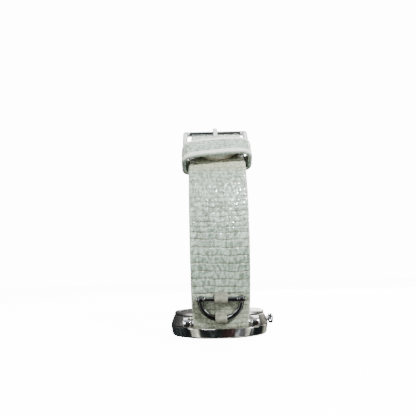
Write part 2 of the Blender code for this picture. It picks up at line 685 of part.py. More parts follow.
def crown_tube(look):
    profile = ring_profile(*TUBE, MIDDLE_INNER - GAP, CROWN_START + 0.2 * mm)
    return shade(turned("crown_tube", profile, look, axis="X", at=(0, 0, CROWN_Z), segments=24, hollow=True))


# ---------------------------------------------------------------- assembly
def attach(name, at, pieces, parent=None):
    """Put an empty on a joint's axis and hang the joint's pieces from it."""
    pivot = bpy.data.objects.new(name, None)
    bpy.context.scene.collection.objects.link(pivot)
    pivot.location = at
    bpy.context.view_layer.update()
    for piece in pieces:
        piece.parent = pivot
        piece.matrix_parent_inverse = pivot.matrix_world.inverted()
    if parent:
        pivot.parent = parent
        pivot.matrix_parent_inverse = parent.matrix_world.inverted()
    return pivot


def make_looks():
    return {
        "leather": material("white_lizard_leather", (0.50, 0.55, 0.50), 0.38),
        "lining": material("cream_lining", (0.62, 0.56, 0.44), 0.7),
        "tab": material("beige_leather", (0.45, 0.42, 0.34), 0.55),
        "polished": material("polished_steel", (0.62, 0.62, 0.62), 0.08, 1),
        "steel": material("steel", (0.55, 0.55, 0.55), 0.3, 1),
        "brass": material("brass", (0.7, 0.53, 0.25), 0.3, 1),
        "copper": material("copper_wire", (0.7, 0.35, 0.18), 0.4, 1),
        "glass": material("crystal_glass", (0.95, 0.97, 0.97), 0.02, 0, 0.2),
        "dial": material("pearl_dial", (0.85, 0.85, 0.82), 0.35),
        "rubber": material("black_rubber", (0.02, 0.02, 0.02), 0.6),
        "plastic": material("holder_plastic", (0.75, 0.75, 0.72), 0.5),
        "board": material("green_board", (0.03, 0.2, 0.09), 0.5),
    }


def build_case(looks):
    case_middle(looks["polished"])
    bezel(looks["polished"])
    crystal(looks["glass"])
    plain_ring("crystal_gasket", CRYSTAL_RADIUS + GAP, BEZEL_INNER - GAP, (0.5 * mm, 1.2 * mm),
               looks["plastic"], segments=64)
    case_back(looks["polished"])
    plain_ring("case_back_gasket", MIDDLE_INNER + GAP, BACK_SEAT_RADIUS - GAP,
               (BACK_SEAT + 0.2 * mm, MIDDLE_TOP), looks["rubber"])
    dial(looks["dial"])
    hour_markers(looks["polished"])
    main_plate(looks["brass"])
    movement_holder(looks["plastic"])
    movement_parts(looks)
    crown_tube(looks["steel"])
    for name, side in (("lug_spring_bar_12", -1), ("lug_spring_bar_6", 1)):
        spring_bar(name, (0, side * HINGE_Y, HINGE_Z), STRAP_WIDTH / 2, looks["steel"])


def build_hands(looks):
    minute = hand("minute_hand", 9.6 * mm, 2.4 * mm, 0.75 * mm, MINUTE_HAND, CANNON_RADIUS + 0.1 * mm,
                  radians(60), looks["polished"])
    attach("minute_hand_axis", (0, 0, MINUTE_HAND[0]), [minute, cannon_pinion(looks["brass"])])
    hour = hand("hour_hand", 6.4 * mm, 2.0 * mm, 1.1 * mm, HOUR_HAND, HOUR_PIPE[1] + 0.1 * mm,
                radians(-55), looks["polished"])
    attach("hour_hand_axis", (0, 0, HOUR_HAND[0]), [hour, hour_wheel(looks["brass"])])
    distance = HOUR_WHEEL_RADIUS + MINUTE_WHEEL_RADIUS + GAP
    attach("minute_wheel_axis", (0, distance, MOTION_WHEELS[0]), [minute_wheel(looks["brass"])])


def build_crown(looks):
    lever = block("setting_lever", (7.2 * mm, 0.65 * mm, 4.4 * mm), (8.0 * mm, 2.6 * mm, 4.9 * mm),
                  looks["steel"])
    slide = attach("crown_pull_axis", (CROWN_START, 0, CROWN_Z), [lever])
    attach("crown_turn_axis", (CROWN_START, 0, CROWN_Z), [crown(looks["polished"]), stem(looks["steel"])],
           slide)


def build_strap(looks):
    ring_edge = RING_BAR_RADIUS + 0.2 * mm
    bow_bottom = RING_BAR_OFFSET - RING_SHANK - RING_BOW_RADIUS
    ornament = [ring_bar(looks["polished"]), ring_bow(looks["polished"]),
                ring_tab("d_ring_top_tab", RING_BAR_OFFSET, ring_edge, 1.8 * mm, looks["tab"]),
                ring_tab("d_ring_bottom_tab", bow_bottom + 0.1 * mm, RING_WIRE_RADIUS + 0.4 * mm, 1.6 * mm,
                         looks["tab"])]
    short_half = buckle_strap(looks["leather"], looks["lining"])
    bar_point = top_point(BAR_ANGLE, 0)
    bar = spring_bar("buckle_spring_bar", bar_point, STRAP_WIDTH / 2 + 0.15 * mm, looks["steel"])
    near = attach("buckle_strap_axis", (0, -HINGE_Y, HINGE_Z), [*short_half, *ornament, bar])
    frame = attach("buckle_frame_axis", bar_point, [buckle_frame(looks["polished"])], near)
    attach("buckle_tongue_axis", bar_point, [buckle_tongue(looks["polished"])], frame)
    attach("free_keeper_axis", (0, 0, TOP_CENTRE_Z), [free_keeper(looks["leather"])], near)
    attach("hole_strap_axis", (0, HINGE_Y, HINGE_Z), hole_strap(looks["leather"], looks["lining"]))


for leftover in list(bpy.data.objects):
    bpy.data.objects.remove(leftover)
looks = make_looks()
build_case(looks)
build_hands(looks)
build_crown(looks)
build_strap(looks)
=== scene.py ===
"""The finished look of a small round wristwatch on a white lizard-grain strap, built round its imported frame.

The watch lies dial down with its buckled strap standing over it: +X is the crown side, +Z is up and
the camera looks along +Y at the half of the strap with the D-ring ornament and the buckle.
"""
import json
from math import asin, atan2, cos, hypot, pi, radians, sin, tau

import bmesh
import bpy
import numpy as np
from mathutils import Matrix, Vector

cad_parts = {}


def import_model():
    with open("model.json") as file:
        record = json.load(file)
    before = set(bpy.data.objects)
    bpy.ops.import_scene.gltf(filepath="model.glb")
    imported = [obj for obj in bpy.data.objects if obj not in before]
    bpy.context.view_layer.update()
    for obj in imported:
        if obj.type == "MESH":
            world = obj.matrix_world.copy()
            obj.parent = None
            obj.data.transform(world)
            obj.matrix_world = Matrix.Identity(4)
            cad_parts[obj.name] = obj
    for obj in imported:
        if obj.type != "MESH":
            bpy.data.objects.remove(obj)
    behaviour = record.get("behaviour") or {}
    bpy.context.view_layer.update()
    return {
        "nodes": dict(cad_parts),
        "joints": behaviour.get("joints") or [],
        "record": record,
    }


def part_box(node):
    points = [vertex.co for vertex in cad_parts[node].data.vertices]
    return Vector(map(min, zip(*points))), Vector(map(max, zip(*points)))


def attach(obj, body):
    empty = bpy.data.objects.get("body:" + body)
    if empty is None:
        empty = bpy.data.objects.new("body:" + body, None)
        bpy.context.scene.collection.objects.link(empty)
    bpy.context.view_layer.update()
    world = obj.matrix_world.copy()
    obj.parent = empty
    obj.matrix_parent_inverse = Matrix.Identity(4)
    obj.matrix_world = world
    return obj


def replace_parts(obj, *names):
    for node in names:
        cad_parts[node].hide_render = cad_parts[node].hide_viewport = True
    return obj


mm = 0.001
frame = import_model()
joints = {joint["name"]: joint for joint in frame["joints"]}

# ---------------------------------------------------------------- places read from the frame
TOP_CENTRE_Z = joints["free_keeper_slide"]["pos_m"][2]
HINGE_Y = joints["hole_strap_hinge"]["pos_m"][1]
HINGE_Z = joints["hole_strap_hinge"]["pos_m"][2]
BAR = Vector(joints["buckle_hinge"]["pos_m"])
CROWN_Z = joints["crown_turn"]["pos_m"][2]
TOP_RADIUS = hypot(BAR.y, BAR.z - TOP_CENTRE_Z)
BAR_ANGLE = atan2(BAR.z - TOP_CENTRE_Z, -BAR.y)
HALF_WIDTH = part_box("buckle_strap_leather")[1].x
CASE_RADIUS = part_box("bezel")[1].x
BEZEL_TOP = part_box("bezel")[1].z
CRYSTAL_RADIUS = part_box("crystal")[1].x
DIAL_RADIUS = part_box("dial")[1].x
MARKER_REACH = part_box("hour_marker_06")[1].y
BACK_BOTTOM, BACK_TOP = (corner.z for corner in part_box("case_back"))
BACK_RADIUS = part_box("case_back")[1].x
CROWN_START, CROWN_END = (corner.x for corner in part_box("crown"))
CROWN_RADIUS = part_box("crown")[1].z - CROWN_Z

# The side arc is tangent to the top arc and ends at the lug's spring bar.
DROP = TOP_CENTRE_Z - HINGE_Z
INSET = TOP_RADIUS - HINGE_Y
SIDE_RADIUS = (INSET ** 2 + DROP ** 2) / (2 * INSET)
LEAN = asin(DROP / SIDE_RADIUS)
SIDE_LENGTH = SIDE_RADIUS * LEAN

# ---------------------------------------------------------------- sizes shared with the CAD model
LEATHER_TOP = 1.35 * mm
LEATHER_BOTTOM = 0.02 * mm
LINING = (-0.85 * mm, -0.02 * mm)
LUG_LOOP = (0.98 * mm, 1.75 * mm)
BUCKLE_LOOP = (0.98 * mm, 1.55 * mm)
TIP_LIFT = 2.8 * mm
KEEPER = (radians(32), radians(44.5))
TIP_ANGLE = radians(34)
BUCKLE_STRAP_LENGTH = SIDE_LENGTH + TOP_RADIUS * BAR_ANGLE
HOLE_STRAP_LENGTH = SIDE_LENGTH + TOP_RADIUS * (pi - TIP_ANGLE)
USED_HOLE = SIDE_LENGTH + TOP_RADIUS * (pi - BAR_ANGLE - radians(8.8))
HOLE_PITCH = 6.5 * mm
SPARE_HOLES = 6
CROSSBAR_TURN = radians(20.5)       # from the buckle's spring bar to its crossbar
CROSSBAR_HEIGHT = 2.9 * mm
RING_STATION = 6.2 * mm
RING_BAR_OFFSET = 3.4 * mm
RING_BOW_RADIUS = 5.4 * mm
RING_SHANK = 0.9 * mm
RING_HEIGHT = 2.48 * mm
STEEL_SEGMENTS = 192

# ---------------------------------------------------------------- surroundings
CAMERA_PLACE = (-0.0035, -0.148, 0.017)
CAMERA_LENS = 39.2
CAMERA_TURN = (-0.3, 99, -1.4)      # yaw, pitch and roll in degrees
FLOOR_GLOW = 12.0
BACKDROP_GLOW = 14.0


# ---------------------------------------------------------------- shader helpers
def shader_of(name, colour, roughness, metallic=0.0):
    """A new material with its Principled shader set to plain values."""
    made = bpy.data.materials.new(name)
    made.use_nodes = True
    shader = made.node_tree.nodes["Principled BSDF"]
    shader.inputs["Base Color"].default_value = (*colour, 1)
    shader.inputs["Roughness"].default_value = roughness
    shader.inputs["Metallic"].default_value = metallic
    return made, made.node_tree, shader


def add_node(tree, kind, **values):
    """Add a node; values name its properties, or its inputs where it has no such property."""
    made = tree.nodes.new(kind)
    for key, value in values.items():
        if hasattr(made, key):
            setattr(made, key, value)
        else:
            made.inputs[key.replace("_", " ")].default_value = value
    return made


def texture(tree, kind, output="Fac", stretch=(1, 1, 1), **values):
    """A procedural texture in the object's own space, in features per metre."""
    place = add_node(tree, "ShaderNodeTexCoord")
    mapping = add_node(tree, "ShaderNodeMapping", Scale=stretch)
    made = add_node(tree, kind, **values)
    tree.links.new(place.outputs["Object"], mapping.inputs["Vector"])
    tree.links.new(mapping.outputs["Vector"], made.inputs["Vector"])
    return made.outputs[output]


def noise(tree, scale, detail=3.0, stretch=(1, 1, 1)):
    return texture(tree, "ShaderNodeTexNoise", stretch=stretch, Scale=scale, Detail=detail)


def cells(tree, scale):
    return texture(tree, "ShaderNodeTexVoronoi", "Distance", Scale=scale)


def ramp(tree, source, stops):
    """Turn a 0 to 1 value into colours; stops are (position, (r, g, b))."""
    made = add_node(tree, "ShaderNodeValToRGB")
    elements = made.color_ramp.elements
    while len(elements) < len(stops):
        elements.new(0.5)
    for element, (position, colour) in zip(elements, stops):
        element.position = position
        element.color = (*colour, 1)
    tree.links.new(source, made.inputs["Fac"])
    return made.outputs["Color"]


def mix(tree, factor, first, second, blend="MIX"):
    """Mix two colours; each value may be a socket or a constant."""
    made = add_node(tree, "ShaderNodeMix", data_type="RGBA", blend_type=blend)
    for socket, value in (("Factor", factor), ("A", first), ("B", second)):
        kind = "VALUE" if socket == "Factor" else "RGBA"
        target = next(s for s in made.inputs if s.name == socket and s.type == kind)
        if isinstance(value, bpy.types.NodeSocket):
            tree.links.new(value, target)
        else:
            target.default_value = value if socket == "Factor" else (*value, 1)
    return next(s for s in made.outputs if s.type == "RGBA")


def spread(tree, source, low, high, start=0):
    """Map a value from start to 1 onto low to high."""
    made = add_node(tree, "ShaderNodeMapRange", From_Min=start, To_Min=low, To_Max=high)
    tree.links.new(source, made.inputs["Value"])
    return made.outputs["Result"]


def bump(tree, shader, heights):
    """Stack bumps; heights are (source, strength, depth in metres)."""
    last = None
    for source, strength, depth in heights:
        made = add_node(tree, "ShaderNodeBump", Strength=strength, Distance=depth)
        tree.links.new(source, made.inputs["Height"])
        if last:
            tree.links.new(last, made.inputs["Normal"])
        last = made.outputs["Normal"]
    tree.links.new(last, shader.inputs["Normal"])


def uneven_gloss(tree, shader, scale, detail, low, high):
    """Let the roughness wander between low and high."""
    tree.links.new(spread(tree, noise(tree, scale, detail), low, high), shader.inputs["Roughness"])


def attribute(tree, name):
    return add_node(tree, "ShaderNodeAttribute", attribute_name=name).outputs["Fac"]


# ---------------------------------------------------------------- materials
def lizard_leather():
    """Glazed white lizard: pale green-white scales, creases darkened olive (their own colour plus painted
    shade), fine pores and a glossy finish.
    """
    made, tree, shader = shader_of("white_lizard", (0.48, 0.54, 0.49), 0.3)
    cloudy = ramp(tree, noise(tree, 260, 4), [(0.3, (0.23, 0.305, 0.25)), (0.7, (0.395, 0.485, 0.415))])
    streaks = ramp(tree, noise(tree, 1500, 4, (1, 1, 0.5)), [(0.40, (0.42, 0.45, 0.41)), (0.60, (1, 1, 1))])
    body = mix(tree, 1.0, cloudy, streaks, "MULTIPLY")
    # warm tint: yellowing round the ornament, and painted shade under the keeper and buckle
    yellowed_and_shaded = mix(tree, attribute(tree, "warm"), body, (0.43, 0.425, 0.29))
    # creases darkened olive: their own colour plus painted shade in the creases
    groove = mix(tree, attribute(tree, "groove"), yellowed_and_shaded, (0.095, 0.085, 0.04))
    edged = mix(tree, attribute(tree, "rim"), groove, (0.62, 0.65, 0.58))
    # painted shade: the slit above the ornament's bar darkened nearly black
    slit_darkened = mix(tree, attribute(tree, "fold"), edged, (0.07, 0.045, 0.025))
    tree.links.new(slit_darkened, shader.inputs["Base Color"])
    uneven_gloss(tree, shader, 1400, 3, 0.14, 0.40)
    shader.inputs["Coat Weight"].default_value = 1.0
    shader.inputs["Coat Roughness"].default_value = 0.08
    bump(tree, shader, [(noise(tree, 4200, 3), 0.5, 0.00008), (cells(tree, 2400), 0.4, 0.00008),
                        (noise(tree, 1300, 2, (1, 1, 0.3)), 0.6, 0.0002)])
    return made


def lining_leather():
    """Soft cream calf with fine pores."""
    made, tree, shader = shader_of("lining_leather", (0.42, 0.40, 0.33), 0.66)
    tone = ramp(tree, noise(tree, 260, 4), [(0.3, (0.34, 0.31, 0.24)), (0.7, (0.47, 0.44, 0.36))])
    tree.links.new(tone, shader.inputs["Base Color"])
    uneven_gloss(tree, shader, 2000, 2, 0.55, 0.78)
    bump(tree, shader, [(cells(tree, 3600), 0.45, 0.00007), (noise(tree, 900, 3), 0.3, 0.0001)])
    return made


def beige_leather():
    """The matt beige leather of the tabs, with a short nap."""
    made, tree, shader = shader_of("beige_leather", (0.5, 0.47, 0.4), 0.6)
    tone = ramp(tree, noise(tree, 900, 4), [(0.3, (0.068, 0.070, 0.050)), (0.7, (0.145, 0.150, 0.112))])
    tree.links.new(tone, shader.inputs["Base Color"])
    uneven_gloss(tree, shader, 3000, 2, 0.5, 0.72)
    shader.inputs["Sheen Weight"].default_value = 0.08
    bump(tree, shader, [(noise(tree, 6000, 4), 0.5, 0.00006), (cells(tree, 3000), 0.3, 0.00006)])
    return made


def polished_steel(name, colour):
    """Mirror-polished steel with the faint wipe marks and hairlines of a worn watch."""
    made, tree, shader = shader_of(name, colour, 0.07, 1)
    uneven_gloss(tree, shader, 500, 4, 0.035, 0.13)
    hairlines = noise(tree, 1800, 5, (1, 1, 9))
    bump(tree, shader, [(hairlines, 0.05, 0.00002)])
    return made


def brushed_steel(name, colour):
    """Steel with fine circular brushing."""
    made, tree, shader = shader_of(name, colour, 0.28, 1)
    rings = texture(tree, "ShaderNodeTexWave", wave_type="RINGS", rings_direction="Z",
                    Scale=5000, Distortion=2.5, Detail=3)
    tree.links.new(spread(tree, rings, 0.2, 0.36), shader.inputs["Roughness"])
    bump(tree, shader, [(rings, 0.12, 0.00001)])
    return made


def brass():
    """Gilt brass with fine pits."""
    made, tree, shader = shader_of("gilt_brass", (0.72, 0.55, 0.27), 0.3, 1)
    uneven_gloss(tree, shader, 1500, 3, 0.2, 0.42)
    bump(tree, shader, [(cells(tree, 1600), 0.3, 0.00002)])
    return made


def copper_wire():
    """Lacquered copper, with the fine ridges of the winding."""
    made, tree, shader = shader_of("copper_wire", (0.72, 0.33, 0.16), 0.35, 1)
    turns = texture(tree, "ShaderNodeTexWave", bands_direction="X", Scale=1600)
    bump(tree, shader, [(turns, 0.8, 0.00005)])
    return made


def crystal_glass():
    """Clear mineral glass; a trace of grease makes its gloss uneven."""
    made, tree, shader = shader_of("crystal_glass", (0.97, 0.99, 0.98), 0.02)
    shader.inputs["Transmission Weight"].default_value = 1
    shader.inputs["IOR"].default_value = 1.5
    uneven_gloss(tree, shader, 160, 3, 0.0, 0.03)
    return made


def pearl_dial():
    """Mother-of-pearl: soft clouds of cream, grey and green under clear lacquer."""
    made, tree, shader = shader_of("pearl_dial", (0.82, 0.82, 0.78), 0.3)
    clouds = ramp(tree, noise(tree, 240, 5, (1, 2.2, 1)),
                  [(0.25, (0.62, 0.66, 0.64)), (0.5, (0.84, 0.83, 0.78)), (0.75, (0.93, 0.90, 0.88))])
    tree.links.new(clouds, shader.inputs["Base Color"])
    shader.inputs["Coat Weight"].default_value = 0.6
    shader.inputs["Coat Roughness"].default_value = 0.05
    bump(tree, shader, [(noise(tree, 500, 3), 0.15, 0.00005)])
    return made


def plastic(name, colour, roughness):
    """Moulded plastic or rubber with a fine grain."""
    made, tree, shader = shader_of(name, colour, roughness)
    uneven_gloss(tree, shader, 1500, 3, roughness - 0.08, roughness + 0.08)
    bump(tree, shader, [(noise(tree, 4000, 2), 0.3, 0.00003)])
    return made


def add_object(name, data):
    made = bpy.data.objects.new(name, data)
    bpy.context.scene.collection.objects.link(made)
    return made


def new_piece(name, mesh, look, body):
    """Make a piece of the watch that rides on a body and takes its finish from a material slot."""
    mesh.materials.clear()
    mesh.materials.append(look)
    made = add_object(name, mesh)
    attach(made, body)
    return made


def face_out(mesh):
    """Turn every face outward."""
    work = bmesh.new()
    work.from_mesh(mesh)
    bmesh.ops.recalc_face_normals(work, faces=work.faces)
    work.to_mesh(mesh)
    work.free()


def skin(name, grid, close_rows=False, sharp=radians(38)):
    """Skin a grid of points whose columns close on themselves; cap its ends unless its rows close too."""
    rows, columns, _ = grid.shape
    index = np.arange(rows * columns).reshape(rows, columns)
    here = index if close_rows else index[:-1]
    ahead = np.roll(index, -1, axis=0) if close_rows else index[1:]
    quads = np.stack([here, np.roll(here, -1, axis=1), np.roll(ahead, -1, axis=1), ahead], axis=-1)
    faces = quads.reshape(-1, 4).tolist()
    if not close_rows:
        faces += [index[0][::-1].tolist(), index[-1].tolist()]
    mesh = bpy.data.meshes.new(name)
    mesh.from_pydata(grid.reshape(-1, 3).tolist(), [], faces)
    face_out(mesh)
    mesh.shade_smooth()
    mesh.set_sharp_from_angle(angle=sharp)
    return mesh


def in_mm(*points):
    return [(a * mm, b * mm) for a, b in points]


def fillet(points, radius, closed=True, steps=4):
    """Round each corner of an outline with a short curve."""
    corners = [Vector(p) for p in points]
    count = len(corners)
    rounded = []
    for i, corner in enumerate(corners):
        if not closed and i in (0, count - 1):
            rounded.append(corner)
            continue
        before = corners[i - 1] - corner
        after = corners[(i + 1) % count] - corner
        reach = min(radius, before.length * 0.45, after.length * 0.45)
        start = corner + before.normalized() * reach
        end = corner + after.normalized() * reach
        for k in range(steps + 1):
            t = k / steps
            rounded.append(start * (1 - t) ** 2 + corner * 2 * t * (1 - t) + end * t ** 2)
    return rounded


AXES = {"X": (Vector((1, 0, 0)), Vector((0, 1, 0)), Vector((0, 0, 1))),
        "Z": (Vector((0, 0, 1)), Vector((1, 0, 0)), Vector((0, 1, 0)))}


def lathe(name, profile, axis="Z", at=(0, 0, 0), segments=STEEL_SEGMENTS, hollow=False, wave=None):
    """Turn (distance along, radius) points about an axis; wave changes the radius with the angle."""
    along, across, up = (np.array(v) for v in AXES[axis])
    turn = np.arange(segments) * tau / segments
    grid = []
    for distance, radius in profile:
        reach = radius + (wave(turn, distance) if wave else 0)
        ring = np.outer(np.cos(turn) * reach, across) + np.outer(np.sin(turn) * reach, up)
        grid.append(ring + along * distance + np.array(at))
    return skin(name, np.array(grid), close_rows=hollow)


def prism(name, outline, low_x, high_x, bevel_width):
    """Extrude a (y, z) outline along X and round all its edges."""
    work = bmesh.new()
    near = [work.verts.new((low_x, y, z)) for y, z in outline]
    far = [work.verts.new((high_x, y, z)) for y, z in outline]
    count = len(outline)
    for i in range(count):
        j = (i + 1) % count
        work.faces.new((near[i], near[j], far[j], far[i]))
    caps = [work.faces.new(near), work.faces.new(far)]
    bmesh.ops.recalc_face_normals(work, faces=work.faces)
    rims = list({edge for cap in caps for edge in cap.edges})
    bmesh.ops.bevel(work, geom=rims, offset=bevel_width, segments=3, profile=0.5, affect="EDGES")
    mesh = bpy.data.meshes.new(name)
    work.to_mesh(mesh)
    work.free()
    mesh.shade_smooth()
    mesh.set_sharp_from_angle(angle=radians(40))
    return mesh


def carve(mesh, cutters):
    """Cut holes through a mesh with closed cutter meshes that don't touch each other."""
    target = add_object("target", mesh)
    joined = bmesh.new()
    for cutter in cutters:
        joined.from_mesh(cutter)
    tool_mesh = bpy.data.meshes.new("cutters")
    joined.to_mesh(tool_mesh)
    joined.free()
    tool = add_object("tool", tool_mesh)
    step = target.modifiers.new("carve", "BOOLEAN")
    step.operation = "DIFFERENCE"
    step.object = tool
    bpy.context.view_layer.update()
    result = bpy.data.meshes.new_from_object(target.evaluated_get(bpy.context.evaluated_depsgraph_get()))
    for item in (target, tool):
        bpy.data.objects.remove(item)
    return result


def unit(rows):
    """Rows of vectors, each brought to a length of one."""
    return rows / np.linalg.norm(rows, axis=1, keepdims=True)


def outward_of(ahead):
    """Unit vectors at right angles to the directions of a flat curve."""
    ahead = unit(ahead)
    return np.stack([ahead[:, 1], -ahead[:, 0]], axis=-1)


def distances(points):
    """How far along its line each point lies."""
    step = np.linalg.norm(np.diff(points, axis=0), axis=1)
    return np.concatenate([[0], np.cumsum(step)])


def squarish(turn, power):
    """The cosine and sine of an angle, pushed towards a square; a power of 2 leaves them as they are."""
    return [np.sign(part) * np.abs(part) ** (2 / power) for part in (np.cos(turn), np.sin(turn))]


def sweep(name, centres, ups, half_widths, half_heights, squareness=2.6, columns=24):
    """Sweep a soft rectangle along a line of points; each row has its own up direction and half sizes."""
    centres = np.array(centres)
    ups = np.array(ups)
    ahead = unit(np.gradient(centres, axis=0))
    sides = unit(np.cross(ahead, ups))
    ups = np.cross(sides, ahead)
    across, height = squarish(np.arange(columns) * tau / columns, squareness)
    widths = np.broadcast_to(half_widths, len(centres))[:, None, None]
    heights = np.broadcast_to(half_heights, len(centres))[:, None, None]
    grid = centres[:, None, :] + sides[:, None, :] * across[None, :, None] * widths
    grid = grid + ups[:, None, :] * height[None, :, None] * heights
    return skin(name, grid)


def mirrored(profile):
    """A lathe profile followed by its mirror image."""
    return profile + [(-distance, reach) for distance, reach in reversed(profile)]


def round_ends(count, ends=4):
    """Scale factors that bring the first and last rows of a sweep down to a rounded point."""
    scale = np.ones(count)
    for k in range(ends):
        value = sin((k + 0.35) / ends * pi / 2)
        scale[k] = value
        scale[-1 - k] = value
    return scale


def smooth(value):
    """Ease from 0 to 1."""
    value = np.clip(value, 0, 1)
    return value * value * (3 - 2 * value)


# ---------------------------------------------------------------- the line the strap follows
def strap_line(stations, side):
    """Points, directions and outward normals of the strap's line, on the side -1 (near) or +1 (far)."""
    stations = np.asarray(stations, float)
    on_side = stations < SIDE_LENGTH
    angle = np.where(on_side, stations / SIDE_RADIUS - LEAN, (stations - SIDE_LENGTH) / TOP_RADIUS)
    radius = np.where(on_side, SIDE_RADIUS, TOP_RADIUS)
    zero = np.zeros_like(angle)
    normal = np.stack([zero, side * np.cos(angle), np.sin(angle)], axis=-1)
    direction = np.stack([zero, -side * np.sin(angle), np.cos(angle)], axis=-1)
    centre = np.stack([zero, (TOP_RADIUS - radius) * side, zero + TOP_CENTRE_Z], axis=-1)
    return centre + normal * radius[..., None], direction, normal


def spot(station, side):
    """The point, direction and outward normal at one station."""
    return [row[0] for row in strap_line([station], side)]


def top_point(angle, height, x=0.0):
    radius = TOP_RADIUS + height
    return Vector((x, -radius * cos(angle), TOP_CENTRE_Z + radius * sin(angle)))


def top_up(angle):
    return Vector((0, -cos(angle), sin(angle)))


LIFT_START = SIDE_LENGTH + TOP_RADIUS * (pi - BAR_ANGLE - radians(16))
LIFT_END = SIDE_LENGTH + TOP_RADIUS * (pi - BAR_ANGLE - radians(2))


def tip_lift(stations, side):
    """How far the long half rises to pass over the short half and the buckle's bar."""
    if side < 0:
        return np.zeros_like(stations)
    return TIP_LIFT * smooth((stations - LIFT_START) / (LIFT_END - LIFT_START))


# ---------------------------------------------------------------- lizard scales
# The grain changes along the strap: (station, row pitch, scale width, row crease, scale crease, facets).
GRAIN = np.array([(-12, 1.5, 1.4, 0.55, 0.45, 1.0), (8.5, 1.5, 1.4, 0.55, 0.45, 1.0),
                  (11, 2.15, 1.5, 1.0, 0.2, 0.7), (25, 2.15, 1.2, 1.0, 0.3, 1.1),
                  (28.5, 1.4, 1.1, 0.7, 0.35, 1.7), (44, 1.2, 1.1, 0.6, 0.3, 1.3),
                  (130, 1.25, 1.1, 0.6, 0.35, 1.3)])
ROW_CREASE = 0.17 * mm
SCALE_CREASE = 0.1 * mm
SCALE_DOME = 0.06 * mm


def grain_at(station_mm, column):
    """One of the grain's measures at a place along the strap."""
    return np.interp(station_mm, GRAIN[:, 0], GRAIN[:, column])


def lizard(stations, across, seed, row_scale=1.0):
    """Height of the scales above the plain leather, and how deep in a crease each point lies."""
    chance = np.random.default_rng(seed)
    phase = chance.uniform(0, tau, 8)
    table = chance.uniform(-1, 1, 4096)
    s = stations / mm / row_scale
    x = across / mm / row_scale
    marks = np.arange(GRAIN[0, 0], GRAIN[-1, 0], 0.25)
    total = np.cumsum(0.25 / grain_at(marks, 1))
    wander = (0.22 * np.sin(0.30 * x + phase[0] + 0.9 * np.sin(0.13 * s + phase[1]))
              + 0.09 * np.sin(1.1 * x + 0.35 * s + phase[2]) + 0.04 * np.sin(3.1 * x + phase[3] + 1.3 * s))
    rows = np.interp(s + wander, marks, total)
    row = np.floor(rows).astype(int)
    v = rows - row
    place = np.interp(row + 0.5, total, marks)
    pitch, width = grain_at(place, 1), grain_at(place, 2)
    width = width * (1 + 0.2 * table[(row * 17 + 5) % 4096])
    slip = 0.9 * table[(row * 29 + 11) % 4096] + 0.5 * (row % 2)
    columns = (x / width + slip + 0.16 * np.sin(1.9 * x + 2.0 * s + phase[4] + row)
               + 0.12 * np.sin(5 * v + phase[5] + 2 * table[(row * 7) % 4096]))
    column = np.floor(columns).astype(int)
    u = columns - column
    own = table[(row * 131 + column * 57) % 4096]
    other = table[(row * 37 + column * 211 + 7) % 4096]
    edge_u = (0.5 - np.abs(u - 0.5)) * width
    edge_v = (0.5 - np.abs(v - 0.5)) * pitch
    fade = 0.75 + 0.25 * np.sin(0.9 * x + 3 * table[(row * 53 + 3) % 4096] + phase[6])
    in_row = grain_at(place, 3) * fade * np.exp(-(edge_v / 0.16) ** 2)
    in_column = grain_at(place, 4) * (0.7 + 0.3 * own) * np.exp(-(edge_u / 0.11) ** 2)
    facets = grain_at(place, 5)
    dome = (1 - (2 * u - 1) ** 4) * (1 - (2 * v - 1) ** 4)
    tilt = facets * (0.09 * own * (u - 0.5) * width + 0.09 * other * (v - 0.5) * pitch)
    height = SCALE_DOME * dome + (tilt * (0.3 + 0.7 * dome) + 0.02 * facets * other * dome) * mm
    height -= np.maximum(ROW_CREASE * in_row, SCALE_CREASE * in_column) * row_scale
    fine = 0.006 * mm * np.sin(7.5 * x + 3 * own) * np.sin(6.1 * s + 3 * other)
    # the crease mask darkens the colour in the shader: the creases' own olive plus painted shade in them
    groove = np.clip(0.85 * in_row + 0.5 * in_column + 0.12 * np.maximum(own, 0), 0, 1)
    return height + fine, groove


def set_attributes(mesh, **layers):
    """Store values for the leather's shader, one for each point of the mesh."""
    for name, values in layers.items():
        layer = mesh.attributes.new(name, "FLOAT", "POINT")
        layer.data.foreach_set("value", np.asarray(values, np.float32).ravel())


# ---------------------------------------------------------------- ribbons of leather
EDGE_ROUND = 0.5 * mm
TOP_COLUMNS = 104
EDGE_STEPS = 6
BOTTOM_COLUMNS = 8
STATION_STEP = 0.16 * mm


def yellowing_and_keeper_shade(stations):
    """The white has yellowed round the ornament; the same warm tint under the keeper and buckle is painted
    shade.
    """
    low = 1 - smooth((stations - 8 * mm) / (5 * mm))
    # painted shade: the warm tint where the keeper and buckle shade the strap
    high = smooth((stations - (BUCKLE_STRAP_LENGTH - 11 * mm)) / (5 * mm))
    return 0.3 * low + 0.65 * high


def ribbon_section(top_columns=TOP_COLUMNS):
    """A leather strip's section: (place across from -1 to 1, edge offset, height from 0 to 1, grain)."""
    top = [(t, 0, 1.0, 1.0) for t in np.linspace(-1, 1, top_columns)]
    side = []
    for k in range(1, EDGE_STEPS + 1):
        turn = k / EDGE_STEPS * pi / 2
        side.append((1, sin(turn), 1 - 0.62 * (1 - cos(turn)), 1 - k / EDGE_STEPS))
    for k in range(1, 4):
        turn = k / 3 * pi / 2
        side.append((1, 1 - 0.4 * (1 - cos(turn)), 0.22 * (1 - sin(turn)), 0))
    bottom = [(t, 0.6 * t, 0, 0) for t in np.linspace(0.9, -0.9, BOTTOM_COLUMNS)]
    other_side = [(-place, -offset, height, grain) for place, offset, height, grain in reversed(side)]
    rows = top + side + bottom + other_side
    return np.array(rows).T


